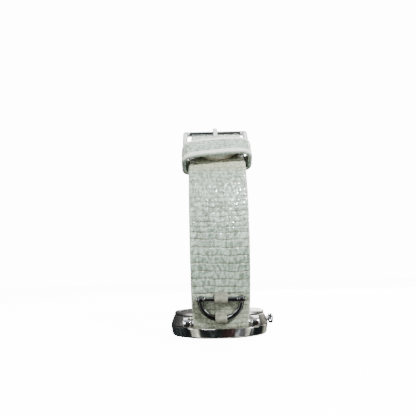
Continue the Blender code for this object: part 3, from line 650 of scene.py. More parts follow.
def ribbon(name, inner, outer, half_widths, grain_seed=None, row_scale=1.0, start_length=0.0, crown=0.0,
           top_columns=TOP_COLUMNS, edge=EDGE_ROUND, extra=None):
    """A strip of leather between two rows of (x, y, z) points, with rounded edges and an optional grain."""
    across, offset, height, weight = ribbon_section(top_columns)
    length = start_length + distances(outer)
    thick = outer - inner
    up = unit(thick)
    flat_half = np.maximum(half_widths - edge, 0.05 * mm)
    x = across[None, :] * flat_half[:, None] + offset[None, :] * np.minimum(edge, half_widths)[:, None]
    grid = inner[:, None, :] + thick[:, None, :] * height[None, :, None]
    grid = grid + up[:, None, :] * (crown * weight * (1 - across ** 2))[None, :, None]
    stations = np.broadcast_to(length[:, None], x.shape)
    groove = np.zeros_like(x)
    if grain_seed is not None:
        rise, groove = lizard(stations, x, grain_seed, row_scale)
        groove = groove * weight[None, :]
        grid = grid + up[:, None, :] * (rise * weight[None, :])[..., None]
    fold, warm = np.zeros_like(x), np.zeros_like(x)
    if extra:
        dent, fold, warm = extra(stations, x)
        fold = fold * weight[None, :]
        grid = grid - up[:, None, :] * (dent * weight[None, :])[..., None]
    grid[..., 0] = grid[..., 0] + x
    mesh = skin(name, grid, sharp=radians(80))
    set_attributes(mesh, groove=groove, fold=fold, warm=warm,
                   rim=np.broadcast_to(0.5 * (1 - weight), x.shape))
    return mesh


def loop_rows(centre, direction, normal, radii, turns, sense):
    """Inner and outer points where leather wraps round a bar; a turn of 0 is straight above the bar."""
    turns = np.asarray(turns)
    way = np.cos(turns)[:, None] * normal + sense * np.sin(turns)[:, None] * direction
    return centre + way * radii[0], centre + way * radii[1]


LOOP_TURN = radians(212)
BULGE_LENGTH = 3.6 * mm


def narrow_at_lugs(widths, outer, lead):
    """The strap is skived a little narrower where it folds round the lug's spring bar."""
    station = lead + distances(outer)
    return widths - 0.42 * mm * (1 - smooth((station + 1 * mm) / (9 * mm)))


def strap_rows(side, length, loop_at_end):
    """Inner and outer points of a strap's leather: round the lug bar, along, and round the buckle bar."""
    count = int(length / STATION_STEP)
    stations = np.linspace(0, length, count)
    points, _, normals = strap_line(stations, side)
    start = 1 - smooth(stations / BULGE_LENGTH)
    top = LEATHER_TOP + (LUG_LOOP[1] - LEATHER_TOP) * start
    bottom = LEATHER_BOTTOM + (LUG_LOOP[0] - LEATHER_BOTTOM) * start
    if loop_at_end:
        end = smooth((stations - (length - BULGE_LENGTH)) / BULGE_LENGTH)
        top = top + (BUCKLE_LOOP[1] - LEATHER_TOP) * end
        bottom = bottom + (BUCKLE_LOOP[0] - LEATHER_BOTTOM) * end
    lift = tip_lift(stations, side)
    inner = points + normals * (bottom + lift)[:, None]
    outer = points + normals * (top + lift)[:, None]
    turns = np.linspace(LOOP_TURN, 0, 34)[:-1]
    loop_inner, loop_outer = loop_rows(*spot(0.0, side), LUG_LOOP, turns, -1)
    rows_inner, rows_outer = [loop_inner, inner], [loop_outer, outer]
    if loop_at_end:
        end_inner, end_outer = loop_rows(*spot(length, side), BUCKLE_LOOP, turns[::-1], 1)
        rows_inner.append(end_inner)
        rows_outer.append(end_outer)
    widths = np.full(sum(len(rows) for rows in rows_inner), HALF_WIDTH)
    lead = LUG_LOOP[1] * LOOP_TURN
    return np.concatenate(rows_inner), np.concatenate(rows_outer), widths, -lead


def slit_yellowing_and_shade(stations, across):
    """The slit above the ornament's bar, where its tab goes into the strap, the painted shade that darkens the
    slit, and the warm tint of yellowing and painted shade.
    """
    middle = RING_STATION + RING_BAR_OFFSET + 1.25 * mm
    wander = 0.08 * mm * np.sin(across / mm * 1.7)
    near = np.exp(-((stations - middle - wander) / (0.17 * mm)) ** 2)
    inside = smooth((6.6 * mm - np.abs(across)) / (0.6 * mm))
    return 0.2 * mm * near * inside, 0.85 * near * inside, yellowing_and_keeper_shade(stations)


def lining_strip(name, side, stations, half_widths):
    """The lining under one half of the strap, a little narrower than its leather."""
    points, _, normals = strap_line(stations, side)
    points = points + normals * tip_lift(stations, side)[:, None]
    return ribbon(name, points + normals * LINING[0], points + normals * LINING[1],
                  half_widths - 0.05 * mm, top_columns=12, edge=0.25 * mm)


NOTCH_HALF_WIDTH = 1.35 * mm           # the slot in the short half's end, for the tongue


def buckle_strap(leather, lining):
    """The short half, from the lug to the buckle's spring bar, and its lining."""
    inner, outer, widths, lead = strap_rows(-1, BUCKLE_STRAP_LENGTH, True)
    widths = narrow_at_lugs(widths, outer, lead)
    mesh = ribbon("buckle_strap_skin", inner, outer, widths, grain_seed=11, start_length=lead,
                  crown=0.12 * mm, extra=slit_yellowing_and_shade)
    notch = prism("notch", in_mm((-2.2, -4), (4, -4), (4, 4), (-2.2, 4)), -NOTCH_HALF_WIDTH, NOTCH_HALF_WIDTH,
                  0.3 * mm)
    notch.transform(Matrix.Translation(BAR) @ Matrix.Rotation(pi / 2 - BAR_ANGLE, 4, "X"))
    piece = new_piece("buckle_strap_skin", carve(mesh, [notch]), leather, "buckle_strap")
    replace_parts(piece, "buckle_strap_leather")
    stations = np.linspace(2.3 * mm, BUCKLE_STRAP_LENGTH - 2.1 * mm, 240)
    mesh = lining_strip("buckle_strap_inside", -1, stations, np.full(240, HALF_WIDTH))
    piece = new_piece("buckle_strap_inside", mesh, lining, "buckle_strap")
    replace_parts(piece, "buckle_strap_lining")


STRAP_TIP_HALF = 7.2 * mm
TAPER_START = 20 * mm
TIP_ROUNDING = 7 * mm


def tip_widths(stations):
    """Half widths of the long half, which tapers and ends in a rounded tip."""
    taper = np.clip((stations - TAPER_START) / (HOLE_STRAP_LENGTH - TAPER_START), 0, 1)
    half = HALF_WIDTH + (STRAP_TIP_HALF - HALF_WIDTH) * taper
    into = np.clip((stations - (HOLE_STRAP_LENGTH - TIP_ROUNDING)) / TIP_ROUNDING, 0, 1)
    return half * np.maximum(np.sqrt(1 - into ** 2), 0.1)


def hole_cutters():
    """The hole in use is drawn out into a slot; the spare holes are round."""
    cutters = []
    radius = 1.05 * mm
    reach = 3.2 * mm
    turn = (np.arange(32) + 0.5) * tau / 32
    for k in range(SPARE_HOLES + 1):
        station = USED_HOLE - k * HOLE_PITCH
        stretch = 1.5 * mm if k == 0 else 0
        point, way, normal = spot(station, 1)
        point = point + normal * tip_lift(np.array([station]), 1)[0]
        shift = np.where(np.sin(turn) > 0, stretch, -stretch)
        ring = point + np.outer(np.cos(turn) * radius, (1, 0, 0))
        ring = ring + np.outer(np.sin(turn) * radius + shift, way)
        cutters.append(skin("hole", np.array([ring - normal * reach, ring + normal * reach])))
    return cutters


def hole_strap(leather, lining):
    """The long half with its holes and pointed tip, and its lining."""
    inner, outer, widths, lead = strap_rows(1, HOLE_STRAP_LENGTH, False)
    loop_count = len(widths) - int(HOLE_STRAP_LENGTH / STATION_STEP)
    stations = np.linspace(0, HOLE_STRAP_LENGTH, int(HOLE_STRAP_LENGTH / STATION_STEP))
    widths[loop_count:] = tip_widths(stations)
    widths = narrow_at_lugs(widths, outer, lead)
    mesh = ribbon("hole_strap_skin", inner, outer, widths, grain_seed=23, start_length=lead, crown=0.1 * mm)
    mesh = carve(mesh, hole_cutters())
    piece = new_piece("hole_strap_skin", mesh, leather, "hole_strap")
    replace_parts(piece, "hole_strap_leather")
    stations = np.linspace(2.3 * mm, HOLE_STRAP_LENGTH - 0.3 * mm, 420)
    mesh = carve(lining_strip("hole_strap_inside", 1, stations, tip_widths(stations)), hole_cutters())
    piece = new_piece("hole_strap_inside", mesh, lining, "hole_strap")
    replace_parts(piece, "hole_strap_lining")


# ---------------------------------------------------------------- keepers
KEEPER_THICKNESS = 0.95 * mm
KEEPER_INNER = (8.75 * mm, 3.0 * mm)   # half sizes of the opening, across and off the wrist
KEEPER_MIDDLE = 1.65 * mm              # height of its middle above the strap's line
KEEPER_SKEW = 0.085                    # it sits askew, lower on the left
KEEPER_RIM = 1.2 * mm                  # width of its smooth turned edge
KEEPER_TURNS = 420


def keeper_outline():
    """The keeper's opening: domed on the outside, squarer against the wrist, evenly spaced points."""
    turn = np.linspace(0, tau, 4001)
    power = np.where(np.sin(turn) > 0, 4.2, 8.0)
    x, h = (half * part for half, part in zip(KEEPER_INNER, squarish(turn, power)))
    length = np.concatenate([[0], np.cumsum(np.hypot(np.diff(x), np.diff(h)))])
    even = np.arange(KEEPER_TURNS) * length[-1] / KEEPER_TURNS
    points = np.stack([np.interp(even, length, x), np.interp(even, length, h)], axis=-1)
    return points, outward_of(np.roll(points, -1, axis=0) - np.roll(points, 1, axis=0)), even


def keeper(leather):
    """A leather band bent round both halves of the strap, with smooth turned edges and small scales."""
    start, end = KEEPER
    middle = (start + end) / 2
    half = (end - start) / 2 * (TOP_RADIUS + 4.5 * mm)
    points, outward, length = keeper_outline()
    across, offset, height, weight = ribbon_section(60)
    edge = 0.4 * mm
    along = across * (half - edge) + offset * edge
    inside = smooth((half - np.abs(along) - KEEPER_RIM) / (0.25 * mm))
    bulge = 0.16 * mm * weight * (1 - inside) + 0.1 * mm * weight * (1 - across ** 2)
    shape = (len(length), len(along))
    rise, groove = lizard(np.broadcast_to(along[None, :] + 50 * mm, shape),
                          np.broadcast_to(length[:, None], shape), 37, 0.85)
    lift = height * KEEPER_THICKNESS + bulge + rise * weight * inside
    x = points[:, :1] + outward[:, :1] * lift
    h = KEEPER_MIDDLE + points[:, 1:] + outward[:, 1:] * lift
    angle = middle + along[None, :] / (TOP_RADIUS + 4.5 * mm) + KEEPER_SKEW * x / TOP_RADIUS
    radius = TOP_RADIUS + h
    grid = np.stack([x, -radius * np.cos(angle), TOP_CENTRE_Z + radius * np.sin(angle)], axis=-1)
    mesh = skin("free_keeper_band", grid, close_rows=True, sharp=radians(80))
    set_attributes(mesh, groove=groove * weight * inside, fold=np.zeros(shape), warm=np.zeros(shape),
                   rim=np.broadcast_to(0.8 * (1 - inside) * weight, shape))
    piece = new_piece("free_keeper_band", mesh, leather, "free_keeper")
    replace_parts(piece, "free_keeper")


# ---------------------------------------------------------------- buckle
def buckle_frame(steel):
    """A polished frame: two arms that widen round the spring bar, and a crossbar with soft corners."""
    arm_x = 9.2 * mm
    corner = 1.3 * mm
    way = []
    for k in range(26):
        part = k / 25
        turn = BAR_ANGLE - radians(1.6) + (CROSSBAR_TURN + radians(1.6)) * part
        rise = CROSSBAR_HEIGHT * float(smooth((turn - BAR_ANGLE) / CROSSBAR_TURN))
        way.append((arm_x, turn, rise, part))
    reach = corner / TOP_RADIUS
    way = [w for w in way if w[1] < BAR_ANGLE + CROSSBAR_TURN - reach]
    last = BAR_ANGLE + CROSSBAR_TURN
    for k in range(9):
        bend = k / 8 * pi / 2
        way.append((arm_x - corner * (1 - cos(bend)), last - reach * (1 - sin(bend)), CROSSBAR_HEIGHT, 1))
    for x in np.linspace(arm_x - corner, 0, 14)[1:]:
        way.append((x, last, CROSSBAR_HEIGHT, 1))
    way = way + [(-x, turn, rise, part) for x, turn, rise, part in reversed(way[:-1])]
    centres = [top_point(turn, rise, x) for x, turn, rise, _ in way]
    ups = [top_up(turn) for _, turn, _, _ in way]
    thin = np.array([part for *_, part in way])
    scale = round_ends(len(way))
    mesh = sweep("buckle_frame", centres, ups, (0.66 + 0.1 * thin) * mm * scale,
                 (1.25 - 0.47 * smooth(thin * 1.4)) * mm * scale, squareness=2.8, columns=32)
    piece = new_piece("buckle_frame_polished", mesh, steel, "buckle")
    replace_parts(piece, "buckle_frame")


def buckle_tongue(steel):
    """A tongue that rises through the strap and rests on the crossbar, and its eye round the spring bar."""
    rest = CROSSBAR_HEIGHT + (0.85 + 0.3 + 0.4) * mm
    guide = [(0.0, 1.2 * mm), (4, 1.05 * mm), (9, 1.6 * mm), (14, 2.8 * mm), (17.5, rest - 0.35 * mm),
             (20.5, rest), (23.4, rest - 0.2 * mm)]
    turns = np.linspace(0, guide[-1][0], 48)
    heights = np.interp(turns, [g[0] for g in guide], [g[1] for g in guide])
    heights = np.convolve(np.pad(heights, 4, mode="edge"), np.ones(9) / 9, mode="valid")
    centres = [top_point(BAR_ANGLE + radians(turn), height) for turn, height in zip(turns, heights)]
    ups = [top_up(BAR_ANGLE + radians(turn)) for turn in turns]
    taper = np.linspace(1, 0.8, len(turns)) * round_ends(len(turns))
    mesh = sweep("buckle_tongue", centres, ups, 0.8 * mm * taper, 0.4 * mm * taper, squareness=2.8)
    shaft = new_piece("tongue_shaft", mesh, steel, "tongue")
    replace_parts(shaft, "buckle_tongue")
    profile = fillet(in_mm((-0.8, 0.98), (-0.8, 1.55), (0.8, 1.55), (0.8, 0.98)), 0.15 * mm)
    eye = lathe("tongue_eye", profile, "X", BAR, 64, hollow=True)
    new_piece("tongue_eye", eye, steel, "tongue")


def spring_bar(name, at, half, steel, body):
    """A slim tube with a shouldered tip at each end."""
    radius = 0.68 * mm
    profile = [(-half - 1.2 * mm, 0.3 * mm), (-half - 1.1 * mm, 0.42 * mm), (-half - 0.35 * mm, 0.42 * mm),
               (-half - 0.35 * mm, 0.6 * mm), (-half - 0.1 * mm, 0.6 * mm), (-half - 0.1 * mm, 0.5 * mm),
               (-half, 0.5 * mm), (-half, radius)]
    mesh = lathe(name, fillet(mirrored(profile), 0.05 * mm, closed=False, steps=2), "X", at, 40)
    piece = new_piece(name + "_turned", mesh, steel, body)
    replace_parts(piece, name)


# ---------------------------------------------------------------- D-ring ornament
def ring_frame():
    """The point, direction and normal of the strap that the ornament is set out from."""
    return [Vector(v) for v in spot(RING_STATION, -1)]


def ring_point(x, up, height):
    point, way, normal = ring_frame()
    return point + Vector((x, 0, 0)) + way * up + normal * height


def ring_bar(steel):
    """The bar of the D: turned, with a ball head and two collars at each end."""
    profile = in_mm((-6.6, 0.25), (-6.52, 0.66), (-6.3, 0.8), (-6.15, 0.62), (-4.78, 0.6), (-4.72, 0.78),
                    (-4.38, 0.78), (-4.3, 0.6))
    mesh = lathe("ring_bar", fillet(mirrored(profile), 0.07 * mm, closed=False, steps=3), "X",
                 ring_point(0, RING_BAR_OFFSET, RING_HEIGHT), 64)
    piece = new_piece("ring_bar_turned", mesh, steel, "buckle_strap")
    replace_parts(piece, "d_ring_bar")


def ring_bow(steel):
    """The round half of the D, bent from wire, with an eye at each end that the bar passes through."""
    radius = RING_BOW_RADIUS
    low = RING_BAR_OFFSET - RING_SHANK
    way = [(radius, RING_BAR_OFFSET - 0.62 * mm), (radius, low)]
    way += [(radius * cos(turn), low - radius * sin(turn)) for turn in np.linspace(0, pi, 64)[1:-1]]
    way += [(-radius, low), (-radius, RING_BAR_OFFSET - 0.62 * mm)]
    centres = [ring_point(x, up, RING_HEIGHT) for x, up in way]
    normal = ring_frame()[2]
    mesh = sweep("ring_bow", centres, [normal] * len(centres), 0.76 * mm, 0.58 * mm, squareness=2.3,
                 columns=28)
    piece = new_piece("ring_bow_wire", mesh, steel, "buckle_strap")
    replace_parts(piece, "d_ring_bow")
    profile = fillet(in_mm((-0.58, 0.66), (-0.58, 0.96), (0.58, 0.96), (0.58, 0.66)), 0.14 * mm)
    for side, word in ((-1, "left"), (1, "right")):
        at = ring_point(side * radius, RING_BAR_OFFSET, RING_HEIGHT)
        eye = lathe("ring_eye", profile, "X", at, 48, hollow=True)
        new_piece("ring_eye_" + word, eye, steel, "buckle_strap")


def ring_tab(name, up, clear, half_width, leather, node):
    """A strip of beige leather that comes out of the strap, arches over the metal and goes back in."""
    thick = 0.42 * mm
    ground = LEATHER_TOP - RING_HEIGHT + 0.06 * mm
    foot = clear + 0.75 * mm
    turns = np.linspace(radians(8), radians(172), 30)
    low = [(foot, ground), (foot - 0.25 * mm, ground + 0.03 * mm), (clear + 0.12 * mm, ground + 0.22 * mm)]
    arch = [(clear * cos(turn), clear * sin(turn)) for turn in turns]
    way = np.array(low + arch + [(-a, h) for a, h in reversed(low)])
    for _ in range(2):
        way[1:-1] = (way[:-2] + way[1:-1] * 2 + way[2:]) / 4
    outer = way + outward_of(np.gradient(way, axis=0)) * thick
    inner_points = np.array([ring_point(0, up + a, RING_HEIGHT + h) for a, h in way])
    outer_points = np.array([ring_point(0, up + a, RING_HEIGHT + h) for a, h in outer])
    mesh = ribbon(name, inner_points, outer_points, np.full(len(way), half_width), top_columns=20,
                  edge=0.16 * mm, crown=0.03 * mm)
    piece = new_piece(name, mesh, leather, "buckle_strap")
    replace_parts(piece, node)


# ---------------------------------------------------------------- case
def bezel(steel):
    """The tall polished band round the crystal; its side leans in and rounds over into the front."""
    radius = CASE_RADIUS
    profile = [(0.3 * mm, CRYSTAL_RADIUS + 1.02 * mm), (0.25 * mm, radius - 0.98 * mm),
               (0.55 * mm, radius - 0.5 * mm), (BEZEL_TOP - 0.25 * mm, radius - 0.02 * mm),
               (BEZEL_TOP, radius - 0.1 * mm), (BEZEL_TOP, CRYSTAL_RADIUS - 0.6 * mm),
               (1.6 * mm, CRYSTAL_RADIUS - 0.6 * mm), (1.6 * mm, CRYSTAL_RADIUS + 1.02 * mm)]
    mesh = lathe("bezel", fillet(profile, 0.3 * mm, steps=5), hollow=True)
    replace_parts(new_piece("bezel_polished", mesh, steel, "case"), "bezel")


def case_middle(steel, satin):
    """The turned band of the case, which slopes in towards the back, and its four lugs."""
    radius = CASE_RADIUS
    low = BEZEL_TOP + 0.06 * mm
    inner = CRYSTAL_RADIUS - 0.5 * mm
    seat = BACK_RADIUS - 0.3 * mm
    profile = [(low, inner), (low, radius - 0.12 * mm), (low + 0.35 * mm, radius - 0.05 * mm),
               (low + 0.8 * mm, radius - 0.15 * mm), (6.1 * mm, radius - 0.95 * mm),
               (6.4 * mm, radius - 1.1 * mm), (6.4 * mm, seat), (5.9 * mm, seat), (5.9 * mm, inner)]
    band = lathe("band", fillet(profile, 0.2 * mm, steps=4), hollow=True)
    piece = new_piece("case_band", band, satin, "case")
    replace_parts(piece, "case_middle")
    end_y = HINGE_Y + 0.4 * mm
    end_radius = 1.6 * mm
    first = radians(-105)
    bottom = [(9.4 * mm, low + 0.2 * mm), (14.6 * mm, low + 0.2 * mm)]
    turns = np.linspace(first, pi / 2, 20)
    tip = [(end_y + end_radius * cos(t), HINGE_Z + end_radius * sin(t)) for t in turns]
    root = [(14.6 * mm, HINGE_Z + end_radius - 0.15 * mm), (12.4 * mm, 6.2 * mm), (9.4 * mm, 6.2 * mm)]
    for side_y in (-1, 1):
        for side_x in (-1, 1):
            outline = [(side_y * y, z) for y, z in bottom + tip + root]
            near, far = sorted((side_x * (HALF_WIDTH + 0.3 * mm), side_x * (HALF_WIDTH + 2.6 * mm)))
            word = f"lug_{'12' if side_y < 0 else '6'}_{'left' if side_x < 0 else 'right'}"
            new_piece(word, prism(word, outline, near, far, 0.35 * mm), steel, "case")


def case_back(steel):
    """A snap-on back with a bevelled rim and two shallow turned steps."""
    rim = BACK_RADIUS
    top = BACK_TOP
    profile = [(BACK_BOTTOM, rim), (top - 0.45 * mm, rim), (top - 0.1 * mm, rim - 0.35 * mm),
               (top - 0.08 * mm, rim - 1.6 * mm), (top - 0.16 * mm, rim - 1.7 * mm),
               (top - 0.16 * mm, rim - 2.1 * mm), (top, rim - 2.2 * mm), (top, 8.5 * mm),
               (top - 0.06 * mm, 8.4 * mm), (top - 0.06 * mm, 8.1 * mm), (top, 8.0 * mm), (top, 1.0 * mm)]
    mesh = lathe("case_back", fillet(profile, 0.1 * mm, closed=False, steps=3))
    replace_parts(new_piece("case_back_turned", mesh, steel, "case"), "case_back")


def crown(steel):
    """A fluted crown with a domed end, hollow where it covers its tube."""
    teeth = 28
    start, end, radius = CROWN_START, CROWN_END, CROWN_RADIUS

    def flutes(turn, distance):
        begun = smooth((distance - start - 0.1 * mm) / (0.12 * mm))
        left = smooth((end - 0.3 * mm - distance) / (0.15 * mm))
        return -0.08 * mm * (1 - np.cos(turn * teeth)) * (begun * left)

    profile = [(start + 0.5 * mm, 0.3 * mm), (start + 0.5 * mm, 1.1 * mm), (start, 1.1 * mm),
               (start, radius - 0.15 * mm), (start + 0.1 * mm, radius - 0.04 * mm),
               (start + 0.24 * mm, radius), (end - 0.5 * mm, radius), (end - 0.3 * mm, radius - 0.07 * mm),
               (end - 0.15 * mm, radius - 0.28 * mm), (end - 0.04 * mm, radius - 0.7 * mm), (end, 0.3 * mm)]
    mesh = lathe("crown", profile, "X", (0, 0, CROWN_Z), teeth * 8, wave=flutes)
    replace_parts(new_piece("crown_fluted", mesh, steel, "crown"), "crown")


def crystal(glass):
    """The flat crystal with a bevelled edge."""
    radius = CRYSTAL_RADIUS
    profile = [(1.3 * mm, 0.5 * mm), (1.3 * mm, radius), (0.28 * mm, radius), (0.0, radius - 0.3 * mm),
               (0.0, 0.5 * mm)]
    mesh = lathe("crystal", fillet(profile, 0.06 * mm, closed=False, steps=3))
    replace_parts(new_piece("crystal_clear", mesh, glass, "case"), "crystal")


def dial(look, steel):
    """The dial with a raised chapter ring, fine minute dots and a sloping flange round it."""
    low, high = (corner.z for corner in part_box("dial"))
    rim = DIAL_RADIUS
    profile = [(high, 1.25 * mm), (high, rim), (low, rim), (low, rim - 0.7 * mm),
               (low + 0.04 * mm, rim - 0.75 * mm), (low + 0.04 * mm, rim - 3.9 * mm),
               (low, rim - 3.95 * mm), (low, 1.25 * mm)]
    mesh = lathe("dial", fillet(profile, 0.02 * mm, steps=2), hollow=True)
    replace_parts(new_piece("dial_plate", mesh, look, "case"), "dial")
    flange = [(1.64 * mm, rim + 0.35 * mm), (1.64 * mm, rim + 0.1 * mm), (low - 0.08 * mm, rim - 0.45 * mm),
              (low - 0.08 * mm, rim - 0.2 * mm)]
    mesh = lathe("dial_flange", fillet(flange, 0.04 * mm, steps=2), hollow=True)
    new_piece("dial_flange", mesh, steel, "case")
    for minute in range(60):
        if minute % 5:
            turn = tau * minute / 60
            at = ((rim - 1.0 * mm) * sin(turn), (1.0 * mm - rim) * cos(turn), 0)
            dome = [(low, 0.11 * mm), (low - 0.04 * mm, 0.1 * mm), (low - 0.07 * mm, 0.05 * mm)]
            mesh = lathe("minute_dot", dome, "Z", at, 10)
            new_piece(f"minute_dot_{minute:02d}", mesh, steel, "case")


def faceted(name, points, faces):
    """A closed solid of flat facets."""
    mesh = bpy.data.meshes.new(name)
    mesh.from_pydata(points, [], faces)
    face_out(mesh)
    return mesh


def hour_markers(steel):
    """Faceted batons: a flat base, low walls and a roof that slopes up to a ridge."""
    base, eaves, ridge = 2.69 * mm, 2.571 * mm, 2.35 * mm
    half = 0.3 * mm
    far = -MARKER_REACH
    for hour in range(1, 13):
        near = (2.6 if hour % 3 == 0 else 1.7) * mm - MARKER_REACH
        corners = [(half, far), (-half, far), (-half, near), (half, near)]
        points = [(x, y, z) for z in (base, eaves) for x, y in corners]
        points += [(0, far + half, ridge), (0, near - half, ridge)]
        faces = [(0, 1, 2, 3), (0, 1, 5, 4), (1, 2, 6, 5), (2, 3, 7, 6), (3, 0, 4, 7),
                 (4, 5, 8), (5, 6, 9, 8), (6, 7, 9), (7, 4, 8, 9)]
        mesh = faceted("marker", points, faces)
        mesh.transform(Matrix.Rotation(tau * hour / 12, 4, "Z"))
        piece = new_piece(f"baton_{hour:02d}", mesh, steel, "case")
        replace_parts(piece, f"hour_marker_{hour:02d}")


def hand(name, length, tail, width, layer, hub_radius, bore, turn, steel, body):
    """A slim faceted leaf and its round hub; it points to twelve before it is turned."""
    high, low = layer
    half_tip = 0.06 * mm
    widest = -length * 0.4
    outline = [(half_tip, -length), (-half_tip, -length), (-width / 2, widest), (-width * 0.3, tail),
               (width * 0.3, tail), (width / 2, widest)]
    points = [(x, y, low) for x, y in outline] + [(0, y, high) for y in (-length, widest, tail)]
    faces = [(0, 1, 2, 3, 4, 5), (0, 1, 6), (1, 2, 7, 6), (2, 3, 8, 7), (3, 4, 8), (4, 5, 7, 8), (5, 0, 6, 7)]
    mesh = faceted(name, points, faces)
    mesh.transform(Matrix.Rotation(turn, 4, "Z"))
    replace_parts(new_piece(name + "_leaf", mesh, steel, body), name)
    top = high - 0.04 * mm
    profile = [(low, bore), (low, hub_radius), (top, hub_radius), (top, bore)]
    mesh = lathe(name + "_hub", fillet(profile, 0.04 * mm, steps=2), segments=64, hollow=True)
    new_piece(name + "_hub", mesh, steel, body)


# ---------------------------------------------------------------- surroundings
def stage():
    """A pale floor and a white dome, both glowing evenly for the camera, kept out of the objects' lighting and
    the metal's reflections.
    """
    bpy.ops.mesh.primitive_plane_add(size=6, location=(0, 0, -0.0002))
    floor = bpy.context.object
    floor.name = "floor"
    made, _, shader = shader_of("floor_paint", (0.92, 0.92, 0.92), 0.9)
    shader.inputs["Specular IOR Level"].default_value = 0.1
    shader.inputs["Emission Color"].default_value = (1, 1, 1, 1)
    shader.inputs["Emission Strength"].default_value = FLOOR_GLOW
    floor.data.materials.append(made)
    bpy.ops.mesh.primitive_uv_sphere_add(segments=64, ring_count=32, radius=2.5, location=(0, 0, 0))
    dome = bpy.context.object
    dome.name = "backdrop"
    glow = bpy.data.materials.new("backdrop_glow")
    glow.use_nodes = True
    tree = glow.node_tree
    tree.nodes.remove(tree.nodes["Principled BSDF"])
    emission = add_node(tree, "ShaderNodeEmission", Strength=BACKDROP_GLOW)
    tree.links.new(emission.outputs["Emission"], tree.nodes["Material Output"].inputs["Surface"])
    dome.data.materials.append(glow)
    for backing in (floor, dome):
        backing.visible_glossy = False
        backing.visible_diffuse = False


def world():
    """What the polished metal sees: dark walls with pale and warm panels, under a light ceiling."""
    made = bpy.data.worlds.new("dim_room")
    bpy.context.scene.world = made
    made.use_nodes = True
    tree = made.node_tree
    place = add_node(tree, "ShaderNodeTexCoord")
    split = add_node(tree, "ShaderNodeSeparateXYZ")
    tree.links.new(place.outputs["Generated"], split.inputs["Vector"])
    ceiling = ramp(tree, spread(tree, split.outputs["Z"], 0, 1, -1),
                   [(0.45, (0, 0, 0)), (0.62, (0.07, 0.075, 0.08)), (0.8, (0.5, 0.51, 0.53)),
                    (1.0, (1.2, 1.2, 1.2))])
    mapping = add_node(tree, "ShaderNodeMapping")
    mapping.inputs["Rotation"].default_value = (0, 0, pi / 2)
    tree.links.new(place.outputs["Generated"], mapping.inputs["Vector"])
    round_room = add_node(tree, "ShaderNodeTexGradient", gradient_type="RADIAL")
    tree.links.new(mapping.outputs["Vector"], round_room.inputs["Vector"])
    blotches = add_node(tree, "ShaderNodeTexNoise", Scale=5.0, Detail=3)
    tree.links.new(place.outputs["Generated"], blotches.inputs["Vector"])
    dark_wall, grey = (0.035, 0.042, 0.042), (0.3, 0.31, 0.31)
    pale, beige, warm = (1.5, 1.45, 1.2), (0.75, 0.72, 0.6), (0.075, 0.045, 0.042)
    panels = [(0.0, dark_wall), (0.285, dark_wall), (0.30, pale), (0.345, pale), (0.36, dark_wall),
              (0.5, dark_wall), (0.53, warm), (0.60, warm), (0.612, grey), (0.675, grey), (0.69, pale),
              (0.712, pale), (0.722, dark_wall), (0.742, grey), (0.755, dark_wall), (0.84, dark_wall),
              (0.86, beige)]
    walls = ramp(tree, round_room.outputs["Fac"], panels)
    marks = ramp(tree, blotches.outputs["Fac"],
                 [(0.38, (0.5, 0.5, 0.5)), (0.56, (1, 1, 1)), (0.64, (3, 3, 3))])
    room = mix(tree, 1.0, walls, marks, "MULTIPLY")
    shade = mix(tree, 1.0, room, ceiling, "ADD")
    tree.links.new(shade, tree.nodes["Background"].inputs["Color"])
    tree.nodes["Background"].inputs["Strength"].default_value = 1.0


def softbox(name, at, toward, width, height, power):
    light = bpy.data.lights.new(name, "AREA")
    light.shape = "RECTANGLE"
    light.size = width
    light.size_y = height
    light.energy = power
    made = add_object(name, light)
    made.location = at
    made.rotation_euler = (Vector(toward) - Vector(at)).to_track_quat("-Z", "Y").to_euler()


def camera():
    made = add_object("camera", bpy.data.cameras.new("camera"))
    made.location = CAMERA_PLACE
    made.data.lens = CAMERA_LENS
    made.data.sensor_width = 36
    made.data.clip_start = 0.01
    yaw, pitch, roll = (radians(angle) for angle in CAMERA_TURN)
    turn = Matrix.Rotation(yaw, 3, "Z") @ Matrix.Rotation(pitch, 3, "X") @ Matrix.Rotation(roll, 3, "Z")
    made.rotation_euler = turn.to_euler()
    bpy.context.scene.camera = made


# ---------------------------------------------------------------- assembly
def build_strap(leather, lining, beige, steel, dark_steel, inner_steel):
    buckle_strap(leather, lining)
    hole_strap(leather, lining)
    keeper(leather)
    buckle_frame(steel)
    buckle_tongue(steel)
    spring_bar("buckle_spring_bar", BAR, HALF_WIDTH + 0.15 * mm, inner_steel, "buckle_strap")
    ring_bar(dark_steel)
    ring_bow(dark_steel)
    ring_tab("top_tab", RING_BAR_OFFSET, 0.78 * mm, 1.75 * mm, beige, "d_ring_top_tab")
    bottom = RING_BAR_OFFSET - RING_SHANK - RING_BOW_RADIUS
    ring_tab("bottom_tab", bottom + 0.12 * mm, 0.86 * mm, 1.6 * mm, beige, "d_ring_bottom_tab")


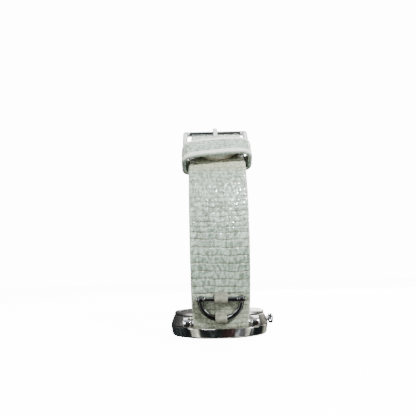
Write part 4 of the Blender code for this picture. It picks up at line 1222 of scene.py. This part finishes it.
def build_case(steel, satin, dark_steel, inner_steel):
    bezel(steel)
    case_middle(steel, satin)
    case_back(satin)
    crown(dark_steel)
    crystal(crystal_glass())
    dial(pearl_dial(), steel)
    hour_markers(steel)
    hand("minute_hand", 9.6 * mm, 2.4 * mm, 0.75 * mm, (1.65 * mm, 1.8 * mm), 0.9 * mm, 0.42 * mm,
         radians(60), steel, "minute_hand")
    hand("hour_hand", 6.4 * mm, 2.0 * mm, 1.1 * mm, (2.0 * mm, 2.15 * mm), 1.5 * mm, 1.0 * mm,
         radians(-55), steel, "hour_hand")
    for name, side in (("lug_spring_bar_12", -1), ("lug_spring_bar_6", 1)):
        spring_bar(name, (0, side * HINGE_Y, HINGE_Z), HALF_WIDTH, inner_steel, "case")


def finish_inner_parts(inner_steel):
    """Give each hidden piece that keeps its CAD shape the material that it is made of."""
    gilt = brass()
    looks = {"steel": inner_steel, "brass": gilt, "copper_wire": copper_wire(),
             "gasket_rubber": plastic("gasket_rubber", (0.02, 0.02, 0.02), 0.6),
             "gasket_plastic": plastic("gasket_plastic", (0.8, 0.8, 0.78), 0.4),
             "holder_plastic": plastic("holder_plastic", (0.75, 0.75, 0.72), 0.5),
             "circuit_board": plastic("circuit_board", (0.03, 0.2, 0.09), 0.4)}
    for part in frame["record"]["subparts"]:
        look = looks.get(part["material_slot"])
        if look:
            mesh = frame["nodes"][part["node"]].data
            mesh.materials.clear()
            mesh.materials.append(look)


polished = polished_steel("polished_steel", (0.50, 0.51, 0.52))
# a darker copy of the polished steel for the ring and crown: painted shade standing in for the dim room they
# reflect
dark = polished_steel("dark_steel", (0.16, 0.167, 0.175))
# the dark taupe tint is a painted reflection of the surroundings; the brushing and roughness are the real
# finish
satin = brushed_steel("satin_steel", (0.27, 0.26, 0.245))
brushed = brushed_steel("brushed_steel", (0.52, 0.52, 0.52))
build_strap(lizard_leather(), lining_leather(), beige_leather(), polished, dark, brushed)
build_case(polished, satin, dark, brushed)
finish_inner_parts(brushed)
stage()
world()
softbox("key", (0.20, -0.42, 0.26), (0, 0, 0.03), 0.06, 0.06, 7.0)
softbox("front", (-0.22, -0.44, 0.06), (0, 0, 0.03), 0.26, 0.26, 2.0)
softbox("left", (-0.40, -0.10, 0.12), (0, 0, 0.03), 0.16, 0.30, 1.2)
softbox("right", (0.36, -0.06, 0.06), (0, 0, 0.03), 0.08, 0.26, 1.2)
softbox("back", (0.16, 0.46, 0.24), (0, 0, 0.03), 0.3, 0.3, 3.5)
softbox("overhead", (0, 0.10, 0.5), (0, 0, 0), 0.4, 0.4, 1.4)
camera()
